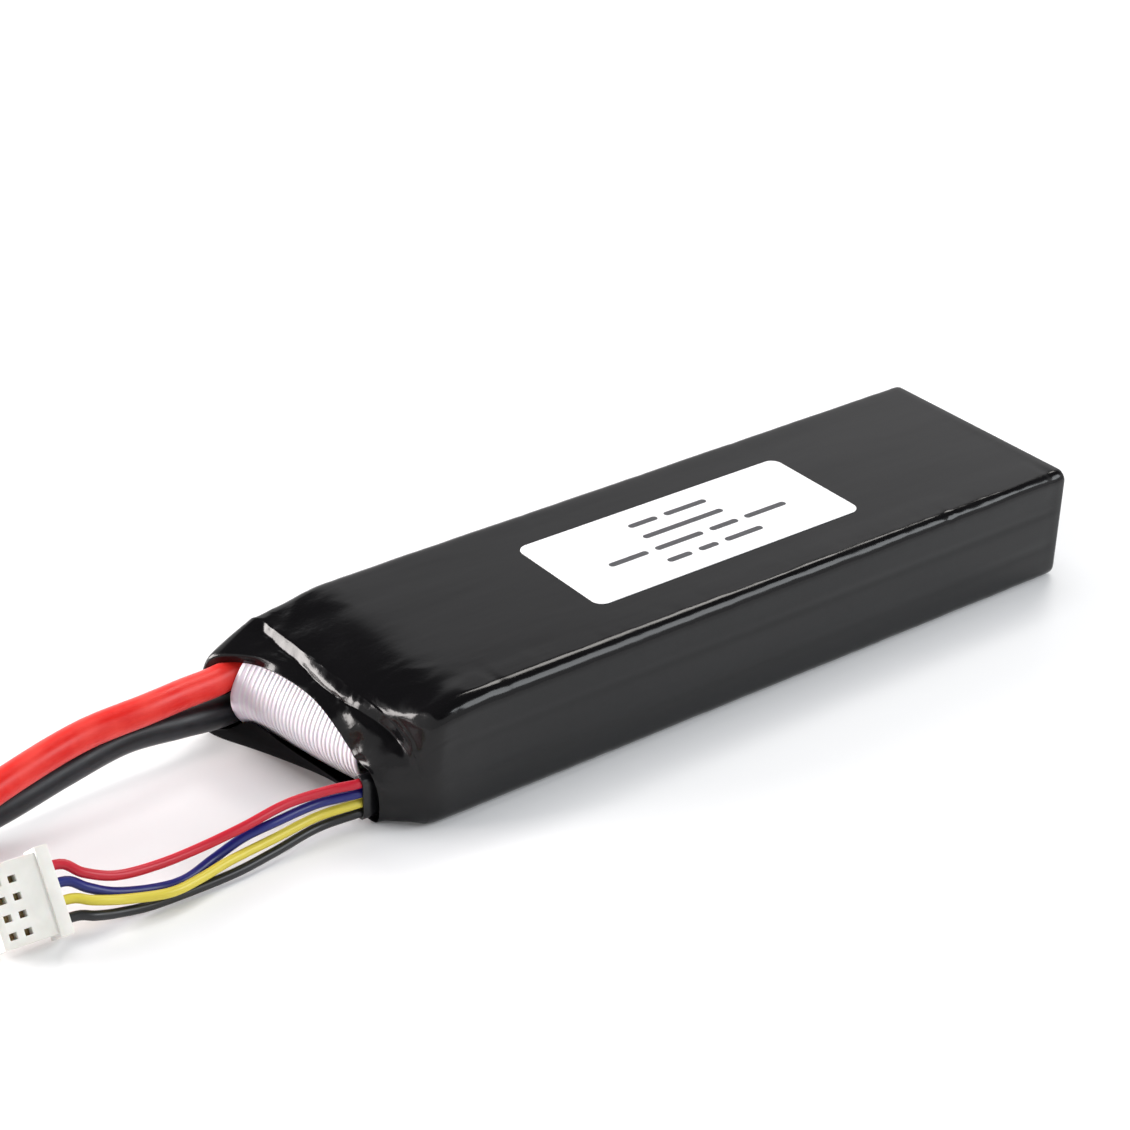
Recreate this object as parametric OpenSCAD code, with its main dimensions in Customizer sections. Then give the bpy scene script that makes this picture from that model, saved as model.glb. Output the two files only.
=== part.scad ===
// Three-cell lithium polymer pack: three pouch cells stacked and wired in series
// inside one black heat-shrink sleeve, with two main leads and a four-wire balance
// lead. Millimetres. +X towards the plain end, the leads leave at -X, +Z up. The
// origin is at the middle of the face that the pack lies on.

/* [Cells] */
// Length of a pouch cell, terrace included
cell_len = 125; // [110:1:150]
// Width of a pouch cell with its side seals folded up
cell_w = 42; // [34:1:50]
// Thickness of one pouch cell
cell_t = 6.7; // [5.6:0.1:8.1]
// Length of the sealed terrace that the tabs come out of
terrace_len = 8; // [6:0.5:12]
// Thickness of the adhesive sheet between two cells
sheet_t = 0.1; // [0.1:0.05:0.3]
// Width of a cell tab
tab_w = 7; // [5:0.5:9]
// Thickness of a cell tab
tab_t = 0.2; // [0.1:0.05:0.3]

/* [Tab board] */
// Thickness of the board that joins the tabs
board_t = 1; // [0.8:0.1:1.6]
// Distance from the end of the terrace to the board
board_gap = 3.4; // [3:0.2:6]

/* [Sleeve and label] */
// Wall of the heat-shrink sleeve
wrap_t = 0.2; // [0.15:0.05:0.4]
// Room between the cells and the sleeve at each side
side_room = 0.55; // [0.3:0.05:1]
// Length of the hood that the sleeve forms round the leads
hood_len = 22; // [20:1:28]
// Thickness of a binding band
band_t = 0.1; // [0.05:0.05:0.2]
// Width of a binding band
band_w = 12; // [8:1:20]
// Label length
label_len = 56; // [40:1:70]
// Label width
label_w = 22.5; // [16:0.5:30]

/* [Leads] */
// Outer diameter of a main lead
lead_d = 4.8; // [4:0.1:5.2]
// Outer diameter of a balance wire
wire_d = 1.5; // [1.3:0.1:1.8]
// Pitch of the balance plug
plug_pitch = 2.54; // [2.4:0.02:2.6]
// Inner diameter of a main contact socket
socket_d = 3.5; // [3:0.1:3.6]

/* [Hidden] */
eps = 0.02;

// ---- the stack, worked out from the cells ----
cell_z = [for (i = [0:2]) wrap_t + band_t + i * (cell_t + sheet_t)];
stack_top = cell_z[2] + cell_t;
pack_h = stack_top + band_t + wrap_t;
half_w = cell_w / 2 + side_room + wrap_t;
// past the cells at the plain end: the pad, the wall and the roll of the sleeve
end_room = 2;
pack_len = cell_len + end_room + hood_len;
far_x = pack_len / 2;
cell_far = far_x - end_room;
terrace_x = cell_far - cell_len;
body_x = terrace_x + terrace_len;
cell_round = 1.9;

// ---- the tab board ----
board_back = terrace_x - board_gap;
board_front = board_back - board_t;
copper_t = 0.1;
copper_front = board_front - copper_t;
leaf_front = copper_front - tab_t;
board_half = cell_w / 2 - 1.5;
// the tabs stand inside the four balance joints at one side and the lead joints at the other
tab_y = board_half - 7 - tab_w / 2;
leaf_len = 2.8;
film_t = 0.5;
terrace_t = 0.9;
slot_clear = 0.3;
tab_z = [for (z = cell_z) z + cell_t / 2];
solder_h = 1;
// heights of the four balance joints, from black at the bottom to red at the top
joint_z = [2.6, 5.4, 8.2, 11];
joint_y = 2.7 - board_half;
joint_x = copper_front - solder_h;
// where the red and the black lead are soldered, in Y and Z
lead_joint = [board_half - 2.2, tab_z[2] - 4.7];
return_joint = [board_half - 2.2, tab_z[0] + 1.3];
bare_len = 4.5;

// ---- the tape over the wired end ----
tape_t = 0.25;
tape_half = half_w - 8.65;

// ---- the leads go where the hood goes: their points were chosen on a hood with these two places ----
drawn_front = -61.6;
drawn_half_w = 21.75;
front_x = 12.9 - far_x;
to_main_side = [front_x - drawn_front, half_w - drawn_half_w, 0];
to_balance_side = [front_x - drawn_front, drawn_half_w - half_w, 0];
function moved(route, by) = [for (p = route) p + by];

// ---- the power plug, flat on the table ----
power_at = [-174, 12, 4.1] + to_main_side;
power_len = 16;
power_w = 16;
power_h = 8.1;
contact_gap = 7.2;
contact_r = socket_d / 2 + 0.5;
cup_len = 6;
cap_len = 3;
core_d = 3.2;
function cup_mouth(side, out) = power_at + [cup_len + out, side * contact_gap / 2, 0];

// ---- the balance plug: turned a little in plan, leaning on its lower long edge ----
plug_at = [-116.2, -10.5, 6.88] + to_balance_side;
plug_turn = -5;
plug_lean = -40;
plug_w = 4 * plug_pitch + 2.84;
plug_body_w = plug_w - 1.2;
plug_t = 5.8;
plug_len = 9.8;
flange_len = 1.9;
cavity = 2;
cavity_y = 0.3;
row_off = -0.5;
terminal_end = 2.4;
// a point of one wire's cavity: way k along the row in pitches, out from the wire side
function in_plug(k, out) = let (z = k * plug_pitch + row_off, y = cavity_y * cos(plug_lean) - z * sin(plug_lean),
    up = cavity_y * sin(plug_lean) + z * cos(plug_lean))
    plug_at + [out * cos(plug_turn) - y * sin(plug_turn), out * sin(plug_turn) + y * cos(plug_turn), up];

// ---- routes of the leads: each starts at its joint and ends in its plug ----
function off_board(joint) = [for (x = [0, 2]) [joint_x - bare_len - x, joint[0], joint[1]]];
// the red lead: out of the hood, down to the table and up into its solder cup
red_route = concat(off_board(lead_joint), moved([[-69, 18, 12], [-74, 17.5, 11.5],
    [-80, 16.8, 11.8], [-87, 15.9, 12], [-97, 16.2, 11.3], [-107, 14.8, 10.2], [-118, 12.6, 8.4], [-129, 9.9, 5.4],
    [-137, 8.7, 3.3], [-145, 8.3, 2.5], [-153, 8.4, 3.2]], to_main_side), [cup_mouth(-1, 7), cup_mouth(-1, 0)]);
// the black lead, under the red one
black_route = concat(off_board(return_joint), moved([[-69, 18.3, 5], [-75, 17.6, 5.5], [-81, 17.4, 6.3], [-90.5, 17.7, 6.9], [-101.5, 16.4, 5.9], [-112.5, 14.9, 4.5],
    [-123.5, 14.8, 2.9], [-134.5, 15.5, 2.5], [-145, 15.6, 2.5], [-153, 15.6, 3.2]], to_main_side),
    [cup_mouth(1, 7), cup_mouth(1, 0)]);

// the four balance wires: board, straight through the sleeve, then a loose fan to the plug
sleeve_x = [for (x = [-63.2, -67.6]) x + to_balance_side[0]];
sleeve_y = -13.4 + to_balance_side[1];
wire_z = [7.1, 5.35, 3.6, 1.85];
function wire(i, route) = concat([for (x = [0, 0.8]) [joint_x - x, joint_y, joint_z[3 - i]]],
    [for (x = [sleeve_x[0] + 0.7, sleeve_x[1]]) [x, sleeve_y, wire_z[i]]], moved(route, to_balance_side),
    [in_plug(1.5 - i, 2), in_plug(1.5 - i, -terminal_end)]);
red_wire = wire(0, [[-72, -12.3, 7.1], [-79, -11.5, 7], [-86.5, -11.8, 6.2], [-93.5, -11.6, 5.4],
    [-100.5, -11.6, 5.3], [-107, -11.3, 6], [-111.5, -10.1, 7.7]]);
blue_wire = wire(1, [[-74.2, -12, 5.3], [-82, -12.2, 5.1], [-86.8, -11.8, 4.3], [-92, -12.1, 2.9],
    [-97.3, -13.4, 2.4], [-101.8, -13, 2.5], [-107.8, -12.3, 4], [-111.6, -11.4, 5.9]]);
yellow_wire = wire(2, [[-74.5, -12.5, 3.4], [-82.2, -13, 3], [-90, -13.7, 2.8],
    [-95.6, -14.8, 2.7], [-100.8, -15.4, 2.8], [-106.8, -14.1, 3.5], [-111.6, -13, 4.7]]);
black_wire = wire(3, [[-74.7, -12.6, 1.5], [-83, -13.8, 1.2], [-90.8, -14.6, 1],
    [-102.5, -14.4, 1], [-108.4, -14, 1.7], [-112, -14, 2.8]]);

// a rounded rectangle in Y and Z at one X, started at the middle of its +Y side
function arc(y, z, r, a0) = [for (k = [0:4]) [y + r * cos(a0 + k * 22.5), z + r * sin(a0 + k * 22.5)]];
function edge(a, b, n) = [for (k = [1:n - 1]) a + (b - a) * k / n];
function box_ring(x, hw, z0, z1, r) = let (y = hw - r, mid = (z0 + z1) / 2) [for (p = concat(
        [[hw, mid]], edge([hw, mid], [hw, z1 - r], 3), arc(y, z1 - r, r, 0),
        edge([y, z1], [-y, z1], 12), arc(-y, z1 - r, r, 90),
        edge([-hw, z1 - r], [-hw, z0 + r], 6), arc(-y, z0 + r, r, 180),
        edge([-y, z0], [y, z0], 12), arc(y, z0 + r, r, 270),
        edge([hw, z0 + r], [hw, mid], 3))) [x, p[0], p[1]]];

// a closed smooth curve through hand-set points, four steps to each
function blend4(a, b, c, d, t) = 0.5 * (2 * b + (c - a) * t + (2 * a - 5 * b + 4 * c - d) * t * t
    + (3 * b - a - 3 * c + d) * t * t * t);
function round_off(pts) = let (n = len(pts))
    [for (i = [0:n - 1], t = [0:0.25:0.75])
        blend4(pts[(i + n - 1) % n], pts[i], pts[(i + 1) % n], pts[(i + 2) % n], t)];
function at_stations(pts, where) = let (n = len(pts)) [for (t = where)
    let (i = floor(t), f = t - i) pts[i % n] * (1 - f) + pts[(i + 1) % n] * f];

// a wall through closed rings, out along its outer face and back along its inner one; the two
// faces are cut into triangles along the same diagonals, so that a thin wall doesn't cross itself
module wall(outer, inner) {
    rings = concat(outer, inner);
    n = len(rings[0]);
    m = len(rings);
    polyhedron(points = [for (r = rings, p = r) p], convexity = 8,
        faces = [for (j = [0:m - 1], i = [0:n - 1], half = [0, 1])
            let (a = j * n + i, b = j * n + (i + 1) % n, c = ((j + 1) % m) * n + (i + 1) % n, d = ((j + 1) % m) * n + i)
            j < len(outer) - 1 ? (half == 0 ? [a, b, c] : [a, c, d]) : (half == 0 ? [a, b, d] : [b, c, d])]);
}

// a tube swept along a route, its ring turned along with the path so that it doesn't twist
function unit(v) = v / norm(v);
function heading(route, i) = unit(route[min(i + 1, len(route) - 1)] - route[max(i - 1, 0)]);
module tube(route, d, sides = 8) {
    n = len(route);
    ring = [for (i = [0:n - 1]) let (h = heading(route, i), side = unit(cross([0, 0, 1], h)), up = cross(h, side))
        [for (k = [0:sides - 1]) route[i] + d / 2 * (side * cos(k * 360 / sides) + up * sin(k * 360 / sides))]];
    polyhedron(points = [for (r = ring, p = r) p], convexity = 4, faces = concat(
        [[for (k = [0:sides - 1]) k]],
        [for (i = [0:n - 2], k = [0:sides - 1]) [i * sides + (k + 1) % sides, i * sides + k,
            (i + 1) * sides + k, (i + 1) * sides + (k + 1) % sides]],
        [[for (k = [sides - 1:-1:0]) (n - 1) * sides + k]]));
}

// ---- heat-shrink sleeve ----
// crease where the top of the sleeve turns down, the lip that stands on the table, and the mouth
crease = [[-6, 21.5, 10], [-5, 21.4, 16], [-3.5, 20.4, 18.7], [-3, 17, 19], [-2.6, 8, 18.7], [-2, -2, 18.3],
    [-1, -10, 17.4], [0, -15.5, 15.6], [0.5, -18.8, 12.6], [0.8, -20.6, 8], [1, -21, 3.4], [1.1, -19.8, 0.7],
    [0.6, -16.5, 0], [-1, -6, 0], [-3, 6, 0], [-6, 18, 0], [-6.5, 21, 0.8], [-6.4, 21.5, 4]];
lip = [[-12.8, 21.4, 7], [-12.6, 21, 11.6], [-11.4, 19.6, 15.2], [-8, 14, 17], [-4.8, 6, 17.9], [-4.3, -2, 17.7],
    [-3.9, -9, 16.2], [-3.4, -14, 12.6], [-3.1, -16.8, 8.6], [-2.8, -17.7, 4.8], [-2.5, -17, 1.4], [-2.8, -14.8, 0],
    [-3.4, -9.4, 0], [-3.6, -1.4, 0], [-7.7, 10, 0], [-11.2, 17.6, 0], [-12.6, 20.8, 0.6], [-12.8, 21.4, 3]];
mouth = [[-12.7, 20.3, 7], [-12.4, 19.9, 11.2], [-10.7, 18.1, 13.9], [-7.8, 13.5, 14.9], [-6.8, 6, 16],
    [-6.2, -1.5, 15.8], [-5.5, -7, 13], [-5.1, -11, 10], [-4.8, -14.6, 9.2], [-4.3, -15.9, 5.5], [-4.2, -15.5, 0.6],
    [-4.6, -12.2, 0.2], [-5, -11, 2.9], [-5.6, -5, 3.4], [-7.4, 4, 4.3], [-9.2, 12.4, 5.4], [-11.2, 16.6, 2.6],
    [-12.6, 20, 2.2]];
// the three outlines are set out from the crease; they stretch with the pack's width and height
drawn_h = 20.9;
function placed(ring) = [for (p = ring) [p[0] + front_x, p[1] * half_w / drawn_half_w, max(0, p[2] * pack_h / drawn_h)]];
// the inner face: each point of the outer one moved in along the skin's own normal
function normal_at(rings, j, i) = let (n = len(rings[j]), m = len(rings))
    unit(cross(rings[min(j + 1, m - 1)][i] - rings[max(j - 1, 0)][i], rings[j][(i + 1) % n] - rings[j][(i + n - 1) % n]));
// the free edge of the sleeve is drawn out to nothing: it has no inner ring, and the one before it is thinner
edge_share = 0.5;
function inner_face(rings) = let (m = len(rings)) [for (j = [m - 2:-1:0])
    [for (i = [0:len(rings[j]) - 1]) rings[j][i] - wrap_t * (j < m - 2 ? 1 : edge_share) * normal_at(rings, j, i)]];

module heat_shrink_wrap() {
    h = pack_h;
    // each ring of the rolled far end: X, half width, bottom, top and corner radius
    far = [[far_x - 0.1, half_w - 7.75, 5.5, h - 5.5, 4.5], [far_x, half_w - 3.25, 2.6, h - 2.6, 3.5],
        [far_x - 0.3, half_w - 1.15, 0.9, h - 0.9, 2.8], [far_x - 1, half_w - 0.3, 0.25, h - 0.25, 2.4],
        [far_x - 2.2, half_w, 0, h, 2.2]];
    straight = [[front_x + 8, half_w, 0, h, 2.2], [front_x + 5, half_w - 0.05, 0, h - 0.4, 2.4],
        [front_x + 2.2, half_w - 0.25, 0, h - 1.2, 2.6]];
    // the outlines' stations that the box's corners run to: each pair is a point of the box and a station
    corners = [[0, 0], [3, 5], [7, 11], [19, 26], [23, 32], [29, 39.5], [33, 46.5], [45, 61], [49, 67], [52, 72]];
    where = [for (i = [0:51]) lookup(i, corners)];
    outer = concat([for (s = concat(far, straight)) box_ring(s[0], s[1], s[2], s[3], s[4])],
        [for (r = [crease, lip, mouth]) placed(at_stations(round_off(r), where))]);
    color("#17171a") wall(outer, inner_face(outer));
}

module label() {
    r = 2;
    color("#f4f4f2") translate([7, 0, pack_h]) linear_extrude(0.1)
        union() {
            square([label_len - 2 * r, label_w], center = true);
            square([label_len, label_w - 2 * r], center = true);
            for (x = [-1, 1], y = [-1, 1])
                translate([x * (label_len / 2 - r), y * (label_w / 2 - r)]) circle(r, $fn = 48);
        }
}

// ---- pouch cells ----
module rounded_bar(x0, x1, w, h, z, r) {
    translate([x0, 0, z]) rotate([90, 0, 90]) linear_extrude(x1 - x0) union() {
        translate([r - w / 2, 0]) square([w - 2 * r, h]);
        translate([-w / 2, r]) square([w, h - 2 * r]);
        for (y = [-1, 1], v = [r, h - r]) translate([y * (w / 2 - r), v]) circle(r, $fn = 32);
    }
}

module cell(i) {
    seal_t = 0.4;
    taper = 2.4;
    zc = tab_z[i];
    color("#c9ccd0") difference() {
        union() {
            rounded_bar(body_x, cell_far, cell_w - 2 * seal_t, cell_t, cell_z[i], cell_round);
            hull() {
                rounded_bar(body_x - eps, body_x + eps, cell_w - 2 * seal_t, cell_t, cell_z[i], cell_round);
                translate([body_x - taper, 1 - cell_w / 2, zc - terrace_t / 2]) cube([eps, cell_w - 2, terrace_t]);
            }
            translate([terrace_x, 1 - cell_w / 2, zc - terrace_t / 2])
                cube([terrace_len + eps, cell_w - 2, terrace_t]);
            for (y = [-1, 1]) translate([body_x, y < 0 ? -cell_w / 2 : cell_w / 2 - seal_t - eps, cell_z[i] + cell_round])
                cube([cell_far - body_x, seal_t + eps, cell_t - 2 * cell_round]);
        }
        for (y = [-tab_y, tab_y]) translate([terrace_x - eps, y - tab_w / 2 - 1.5, zc - film_t / 2])
            cube([terrace_len - taper + eps, tab_w + 3, film_t]);
    }
}
module cell_bottom() { cell(0); }
module cell_middle() { cell(1); }
module cell_top() { cell(2); }

module sheet(i) {
    color("#e8e2cf") translate([body_x + 4, -cell_w / 2 + 4, cell_z[i] + cell_t])
        cube([cell_far - body_x - 8, cell_w - 8, sheet_t]);
}
module sheet_lower() { sheet(0); }
module sheet_upper() { sheet(1); }

// a tab comes out of its seal, goes through a slot in the board and is folded onto the copper
module tab(i, side, fold, tint) {
    color(tint) translate([0, side * tab_y - tab_w / 2, tab_z[i]]) {
        translate([leaf_front, 0, -tab_t / 2]) cube([terrace_x + 5 - leaf_front, tab_w, tab_t]);
        translate([leaf_front, 0, fold > 0 ? -tab_t / 2 : -leaf_len]) cube([tab_t, tab_w, leaf_len + tab_t / 2]);
    }
}
module tab_positive_bottom() { tab(0, 1, 1, "#cfd2d6"); }
module tab_positive_middle() { tab(1, -1, 1, "#cfd2d6"); }
module tab_positive_top() { tab(2, 1, -1, "#cfd2d6"); }
module tab_negative_bottom() { tab(0, -1, 1, "#b9b3a4"); }
module tab_negative_middle() { tab(1, 1, -1, "#b9b3a4"); }
module tab_negative_top() { tab(2, -1, -1, "#b9b3a4"); }

module tab_seals() {
    color("#e9e6da") for (z = tab_z, y = [-tab_y, tab_y]) difference() {
        translate([terrace_x - 1, y - tab_w / 2 - 1.5, z - film_t / 2]) cube([6, tab_w + 3, film_t]);
        translate([terrace_x - 2, y - tab_w / 2, z - tab_t / 2]) cube([8, tab_w, tab_t]);
    }
}

// ---- tab board ----
module board_outline(x, t) {
    translate([x, -board_half, 1.4]) cube([t, 2 * board_half, pack_h - 4.4]);
}
module tab_board() {
    color("#2f6b46") difference() {
        board_outline(board_front, board_t);
        for (z = tab_z, y = [-tab_y, tab_y])
            translate([board_front - 1, y - tab_w / 2 - slot_clear, z - tab_t / 2 - slot_clear])
                cube([board_t + 2, tab_w + 2 * slot_clear, tab_t + 2 * slot_clear]);
    }
}
module copper(y0, y1, z0, z1) { translate([copper_front, y0, z0]) cube([copper_t, y1 - y0, z1 - z0]); }
module board_copper() {
    land = tab_w / 2 + 0.4;
    up = slot_clear + tab_t / 2 + 0.1;
    track = 0.8;
    rim = board_half - 0.2;
    color("#c98b4a") {
        // pack minus, with its track along the bottom edge to the black lead
        copper(-tab_y - land, -tab_y + land, tab_z[0] + up, tab_z[0] + 4.4);
        copper(-tab_y - land - track, -tab_y - land + eps, 1.6, tab_z[0] + 4.4);
        copper(-tab_y - land - track, rim, 1.6, 1.6 + track);
        copper(rim - 4, rim, 1.6 + track - eps, return_joint[1] + 2.2);
        // the two joints between cells
        copper(tab_y - land, tab_y + land, tab_z[0] + up, tab_z[1] - up);
        copper(-tab_y - land, -tab_y + land, tab_z[1] + up, tab_z[2] - up);
        // pack plus, wide enough for the red lead
        copper(tab_y - land, rim, tab_z[2] - up - 4, tab_z[2] - up);
        copper(rim - 4, rim, lead_joint[1] - 2.4, tab_z[2] - up);
        // four lands for the balance wires
        for (z = joint_z) copper(joint_y - 1.4, joint_y + 1.4, z - 1.1, z + 1.1);
    }
}
module fillet_of_solder(y, z, r_land, r_top) {
    translate([copper_front, y, z]) rotate([0, -90, 0]) cylinder(h = solder_h, r1 = r_land, r2 = r_top, $fn = 32);
}
module solder_joints() {
    color("#d9dcdf") {
        fillet_of_solder(lead_joint[0], lead_joint[1], 2.1, 1.8);
        fillet_of_solder(return_joint[0], return_joint[1], 2.1, 1.8);
        for (z = joint_z) fillet_of_solder(joint_y, z, 1.05, 0.9);
        // a bead along the edge of each folded tab
        for (e = [[0, 1, 1], [1, -1, 1], [2, 1, -1], [0, -1, 1], [1, 1, -1], [2, -1, -1]])
            translate([leaf_front, e[1] * tab_y - tab_w / 2 + 0.8, tab_z[e[0]] + e[2] * (leaf_len - 0.8)])
                rotate([-90, 0, 0]) difference() {
                    cylinder(h = tab_w - 1.6, r = 0.5, $fn = 24);
                    translate([0, -1, -1]) cube([2, 2, tab_w]);
                }
    }
}

// ---- wrapping of the wired end ----
module insulating_card() {
    color("#dfe3e6") translate([leaf_front - 2.6, 8.5 - board_half, 2.4])
        cube([0.3, 2 * board_half - 15, pack_h - 6.6]);
}
// glass-filament tape: a strip taken over the end from the top to the bottom
module tape_section(grow) {
    h = pack_h;
    outline = [[-14, h - 0.7], [-8, h - 1.4], [-4, h - 2.4], [-0.5, h - 3.7], [2.6, h - 5.4], [4.9, h - 7.8],
        [6.3, h - 10.2], [6.6, h - 12.2], [6, h - 14.6], [4.5, h - 17], [2.7, 2.1], [0.7, 1], [-3, 0.6], [-14, 0.5]];
    offset(delta = grow) polygon(outline);
}
module end_tape() {
    color("#eceaf0") translate([front_x - 1, 3.6, 0]) rotate([0, 0, 10.7]) rotate([90, 0, 180])
        translate([0, 0, -tape_half]) linear_extrude(2 * tape_half) difference() {
            tape_section(0);
            tape_section(-tape_t);
            translate([-16, -1]) square([2 + tape_t * 2, 30]);
        }
}
module binding_band(x) {
    color("#c8b45a") difference() {
        rounded_bar(x, x + band_w, cell_w + 2 * band_t, stack_top - cell_z[0] + 2 * band_t, cell_z[0] - band_t,
            cell_round + band_t);
        rounded_bar(x - 1, x + band_w + 1, cell_w, stack_top - cell_z[0], cell_z[0], cell_round);
    }
}
module binding_band_front() { binding_band(body_x + 12); }
module binding_band_rear() { binding_band(cell_far - 24 - band_w); }
module rear_pad() {
    color("#2b2b2e") translate([cell_far + 0.1, 3 - cell_w / 2, 2.5]) cube([0.8, cell_w - 6, pack_h - 5]);
}

// ---- main leads ----
module lead_core(joint, start, y) {
    color("#c8864a") {
        translate([start[0], joint[0], joint[1]]) rotate([0, 90, 0])
            cylinder(h = bare_len, d = core_d, $fn = 24);
        translate([power_at[0] + 1, y, power_at[2]]) rotate([0, 90, 0])
            cylinder(h = cup_len - 1, d = core_d, $fn = 24);
    }
}
module lead_core_red() { lead_core(lead_joint, red_route[0], power_at[1] - contact_gap / 2); }
module lead_core_black() { lead_core(return_joint, black_route[0], power_at[1] + contact_gap / 2); }
module main_lead_red() { color("#e02a1e") tube(red_route, lead_d, 12); }
module main_lead_black() { color("#1b1d1f") tube(black_route, lead_d, 12); }

// ---- balance lead ----
module sleeve_outline(w, h) {
    r = w / 2;
    hull() for (z = [r - h / 2, h / 2 - r]) translate([0, z]) circle(r, $fn = 32);
}
module balance_sleeve() {
    middle = (wire_z[0] + wire_z[3]) / 2;
    tall = wire_z[0] - wire_z[3] + wire_d;
    color("#151517") translate([sleeve_x[0], sleeve_y, middle]) rotate([90, 0, -90])
        linear_extrude(sleeve_x[0] - sleeve_x[1]) difference() {
            sleeve_outline(wire_d + 0.9, tall + 0.9);
            sleeve_outline(wire_d + 0.1, tall + 0.1);
        }
}
module balance_wire_red() { color("#c8202e") tube(red_wire, wire_d); }
module balance_wire_blue() { color("#1c2f8c") tube(blue_wire, wire_d); }
module balance_wire_yellow() { color("#e0c93a") tube(yellow_wire, wire_d); }
module balance_wire_black() { color("#1c1c1e") tube(black_wire, wire_d); }

module at_plug() {
    translate(plug_at) rotate([0, 0, plug_turn]) rotate([plug_lean, 0, 0]) children();
}
// in its own frame: mating end towards -X, wires in a row along Z, windows on the -Y face
module balance_plug() {
    color("#f3f1e6") at_plug() difference() {
        union() {
            translate([-plug_len, -plug_t / 2, -plug_body_w / 2]) cube([plug_len, plug_t, plug_body_w]);
            translate([-flange_len, -plug_t / 2 - 0.45, -plug_w / 2]) cube([flange_len, plug_t + 0.45, plug_w]);
            for (z = [-1, 1]) translate([-plug_len, plug_t / 2 - 0.9, z * (plug_body_w / 2 - 1.2) - 0.5])
                cube([plug_len, 1.5, 1]);
        }
        for (k = [-1.5:1:1.5]) translate([0, cavity_y, k * plug_pitch + row_off]) {
            translate([-plug_len - 1, -cavity / 2, -cavity / 2]) cube([plug_len + 2, cavity, cavity]);
            for (x = [-8.7, -6.5]) translate([x, -plug_t, -0.5]) cube([1.1, plug_t, 1]);
        }
    }
}
module balance_terminals() {
    color("#c9a866") at_plug() for (k = [-1.5:1:1.5]) translate([-plug_len + 0.6, cavity_y, k * plug_pitch + row_off])
        difference() {
            translate([0, -0.8, -0.8]) cube([plug_len - 0.6 - terminal_end, 1.6, 1.6]);
            translate([-1, -0.4, -0.4]) cube([5, 0.8, 0.8]);
        }
}

// ---- power plug ----
module at_power() { translate(power_at) children(); }
module power_outline(w, h) {
    cut = 2.6;
    polygon([[-w / 2, -h / 2], [w / 2 - cut, -h / 2], [w / 2, cut - h / 2], [w / 2, h / 2 - cut],
        [w / 2 - cut, h / 2], [-w / 2, h / 2]]);
}
module contact_bores(r, x0, x1) {
    for (y = [-1, 1]) translate([x0, y * contact_gap / 2, 0]) rotate([0, 90, 0]) cylinder(h = x1 - x0, r = r, $fn = 48);
}
module power_plug() {
    color("#e8c21a") at_power() difference() {
        union() {
            translate([-power_len, 0, 0]) rotate([90, 0, 90]) linear_extrude(power_len - cap_len)
                power_outline(power_w, power_h);
            translate([-power_len + 3.5, 0, 0]) rotate([90, 0, 90]) linear_extrude(1)
                power_outline(power_w, power_h);
        }
        contact_bores(contact_r, -power_len - 1, 1);
        for (z = [-1, 1], x = [-7.5, -6, -4.5]) translate([x, -4, z > 0 ? power_h / 2 - 0.4 : -power_h / 2 - 0.6])
            cube([0.7, 8, 1]);
    }
}
module power_plug_cap() {
    color("#d9b316") at_power() difference() {
        translate([-cap_len, 0, 0]) rotate([90, 0, 90]) linear_extrude(cap_len)
            power_outline(power_w - 0.8, power_h - 0.4);
        contact_bores(contact_r, -cap_len - 1, 1);
    }
}
module contact(side) {
    color("#d8b25a") at_power() translate([0, side * contact_gap / 2, 0]) rotate([0, 90, 0]) difference() {
        union() {
            translate([0, 0, -power_len + 0.4]) cylinder(h = power_len - 0.4, r = contact_r, $fn = 48);
            cylinder(h = cup_len, r = contact_r + 0.15, $fn = 48);
        }
        translate([0, 0, -power_len - 1]) cylinder(h = 10.4, d = socket_d, $fn = 48);
        translate([0, 0, 1]) cylinder(h = cup_len, d = core_d + 0.1, $fn = 48);
    }
}
module contact_positive() { contact(-1); }
module contact_negative() { contact(1); }
module cup_sleeve(side, tint) {
    bore = max(contact_r + 0.15, lead_d / 2) + 0.05;
    color(tint) at_power() translate([0.3, side * contact_gap / 2, 0]) rotate([0, 90, 0]) difference() {
        cylinder(h = 11.5, r = bore + 0.35, $fn = 48);
        translate([0, 0, -1]) cylinder(h = 14, r = bore, $fn = 48);
    }
}
module cup_sleeve_red() { cup_sleeve(-1, "#b3201c"); }
module cup_sleeve_black() { cup_sleeve(1, "#161618"); }

heat_shrink_wrap();
label();
cell_bottom();
cell_middle();
cell_top();
sheet_lower();
sheet_upper();
tab_positive_bottom();
tab_positive_middle();
tab_positive_top();
tab_negative_bottom();
tab_negative_middle();
tab_negative_top();
tab_seals();
tab_board();
board_copper();
solder_joints();
insulating_card();
end_tape();
binding_band_front();
binding_band_rear();
rear_pad();
lead_core_red();
lead_core_black();
main_lead_red();
main_lead_black();
balance_sleeve();
balance_wire_red();
balance_wire_blue();
balance_wire_yellow();
balance_wire_black();
balance_plug();
balance_terminals();
power_plug();
power_plug_cap();
contact_positive();
contact_negative();
cup_sleeve_red();
cup_sleeve_black();
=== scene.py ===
import math

import bmesh
import bpy
import numpy as np
from mathutils import Matrix, Vector, noise


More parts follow.
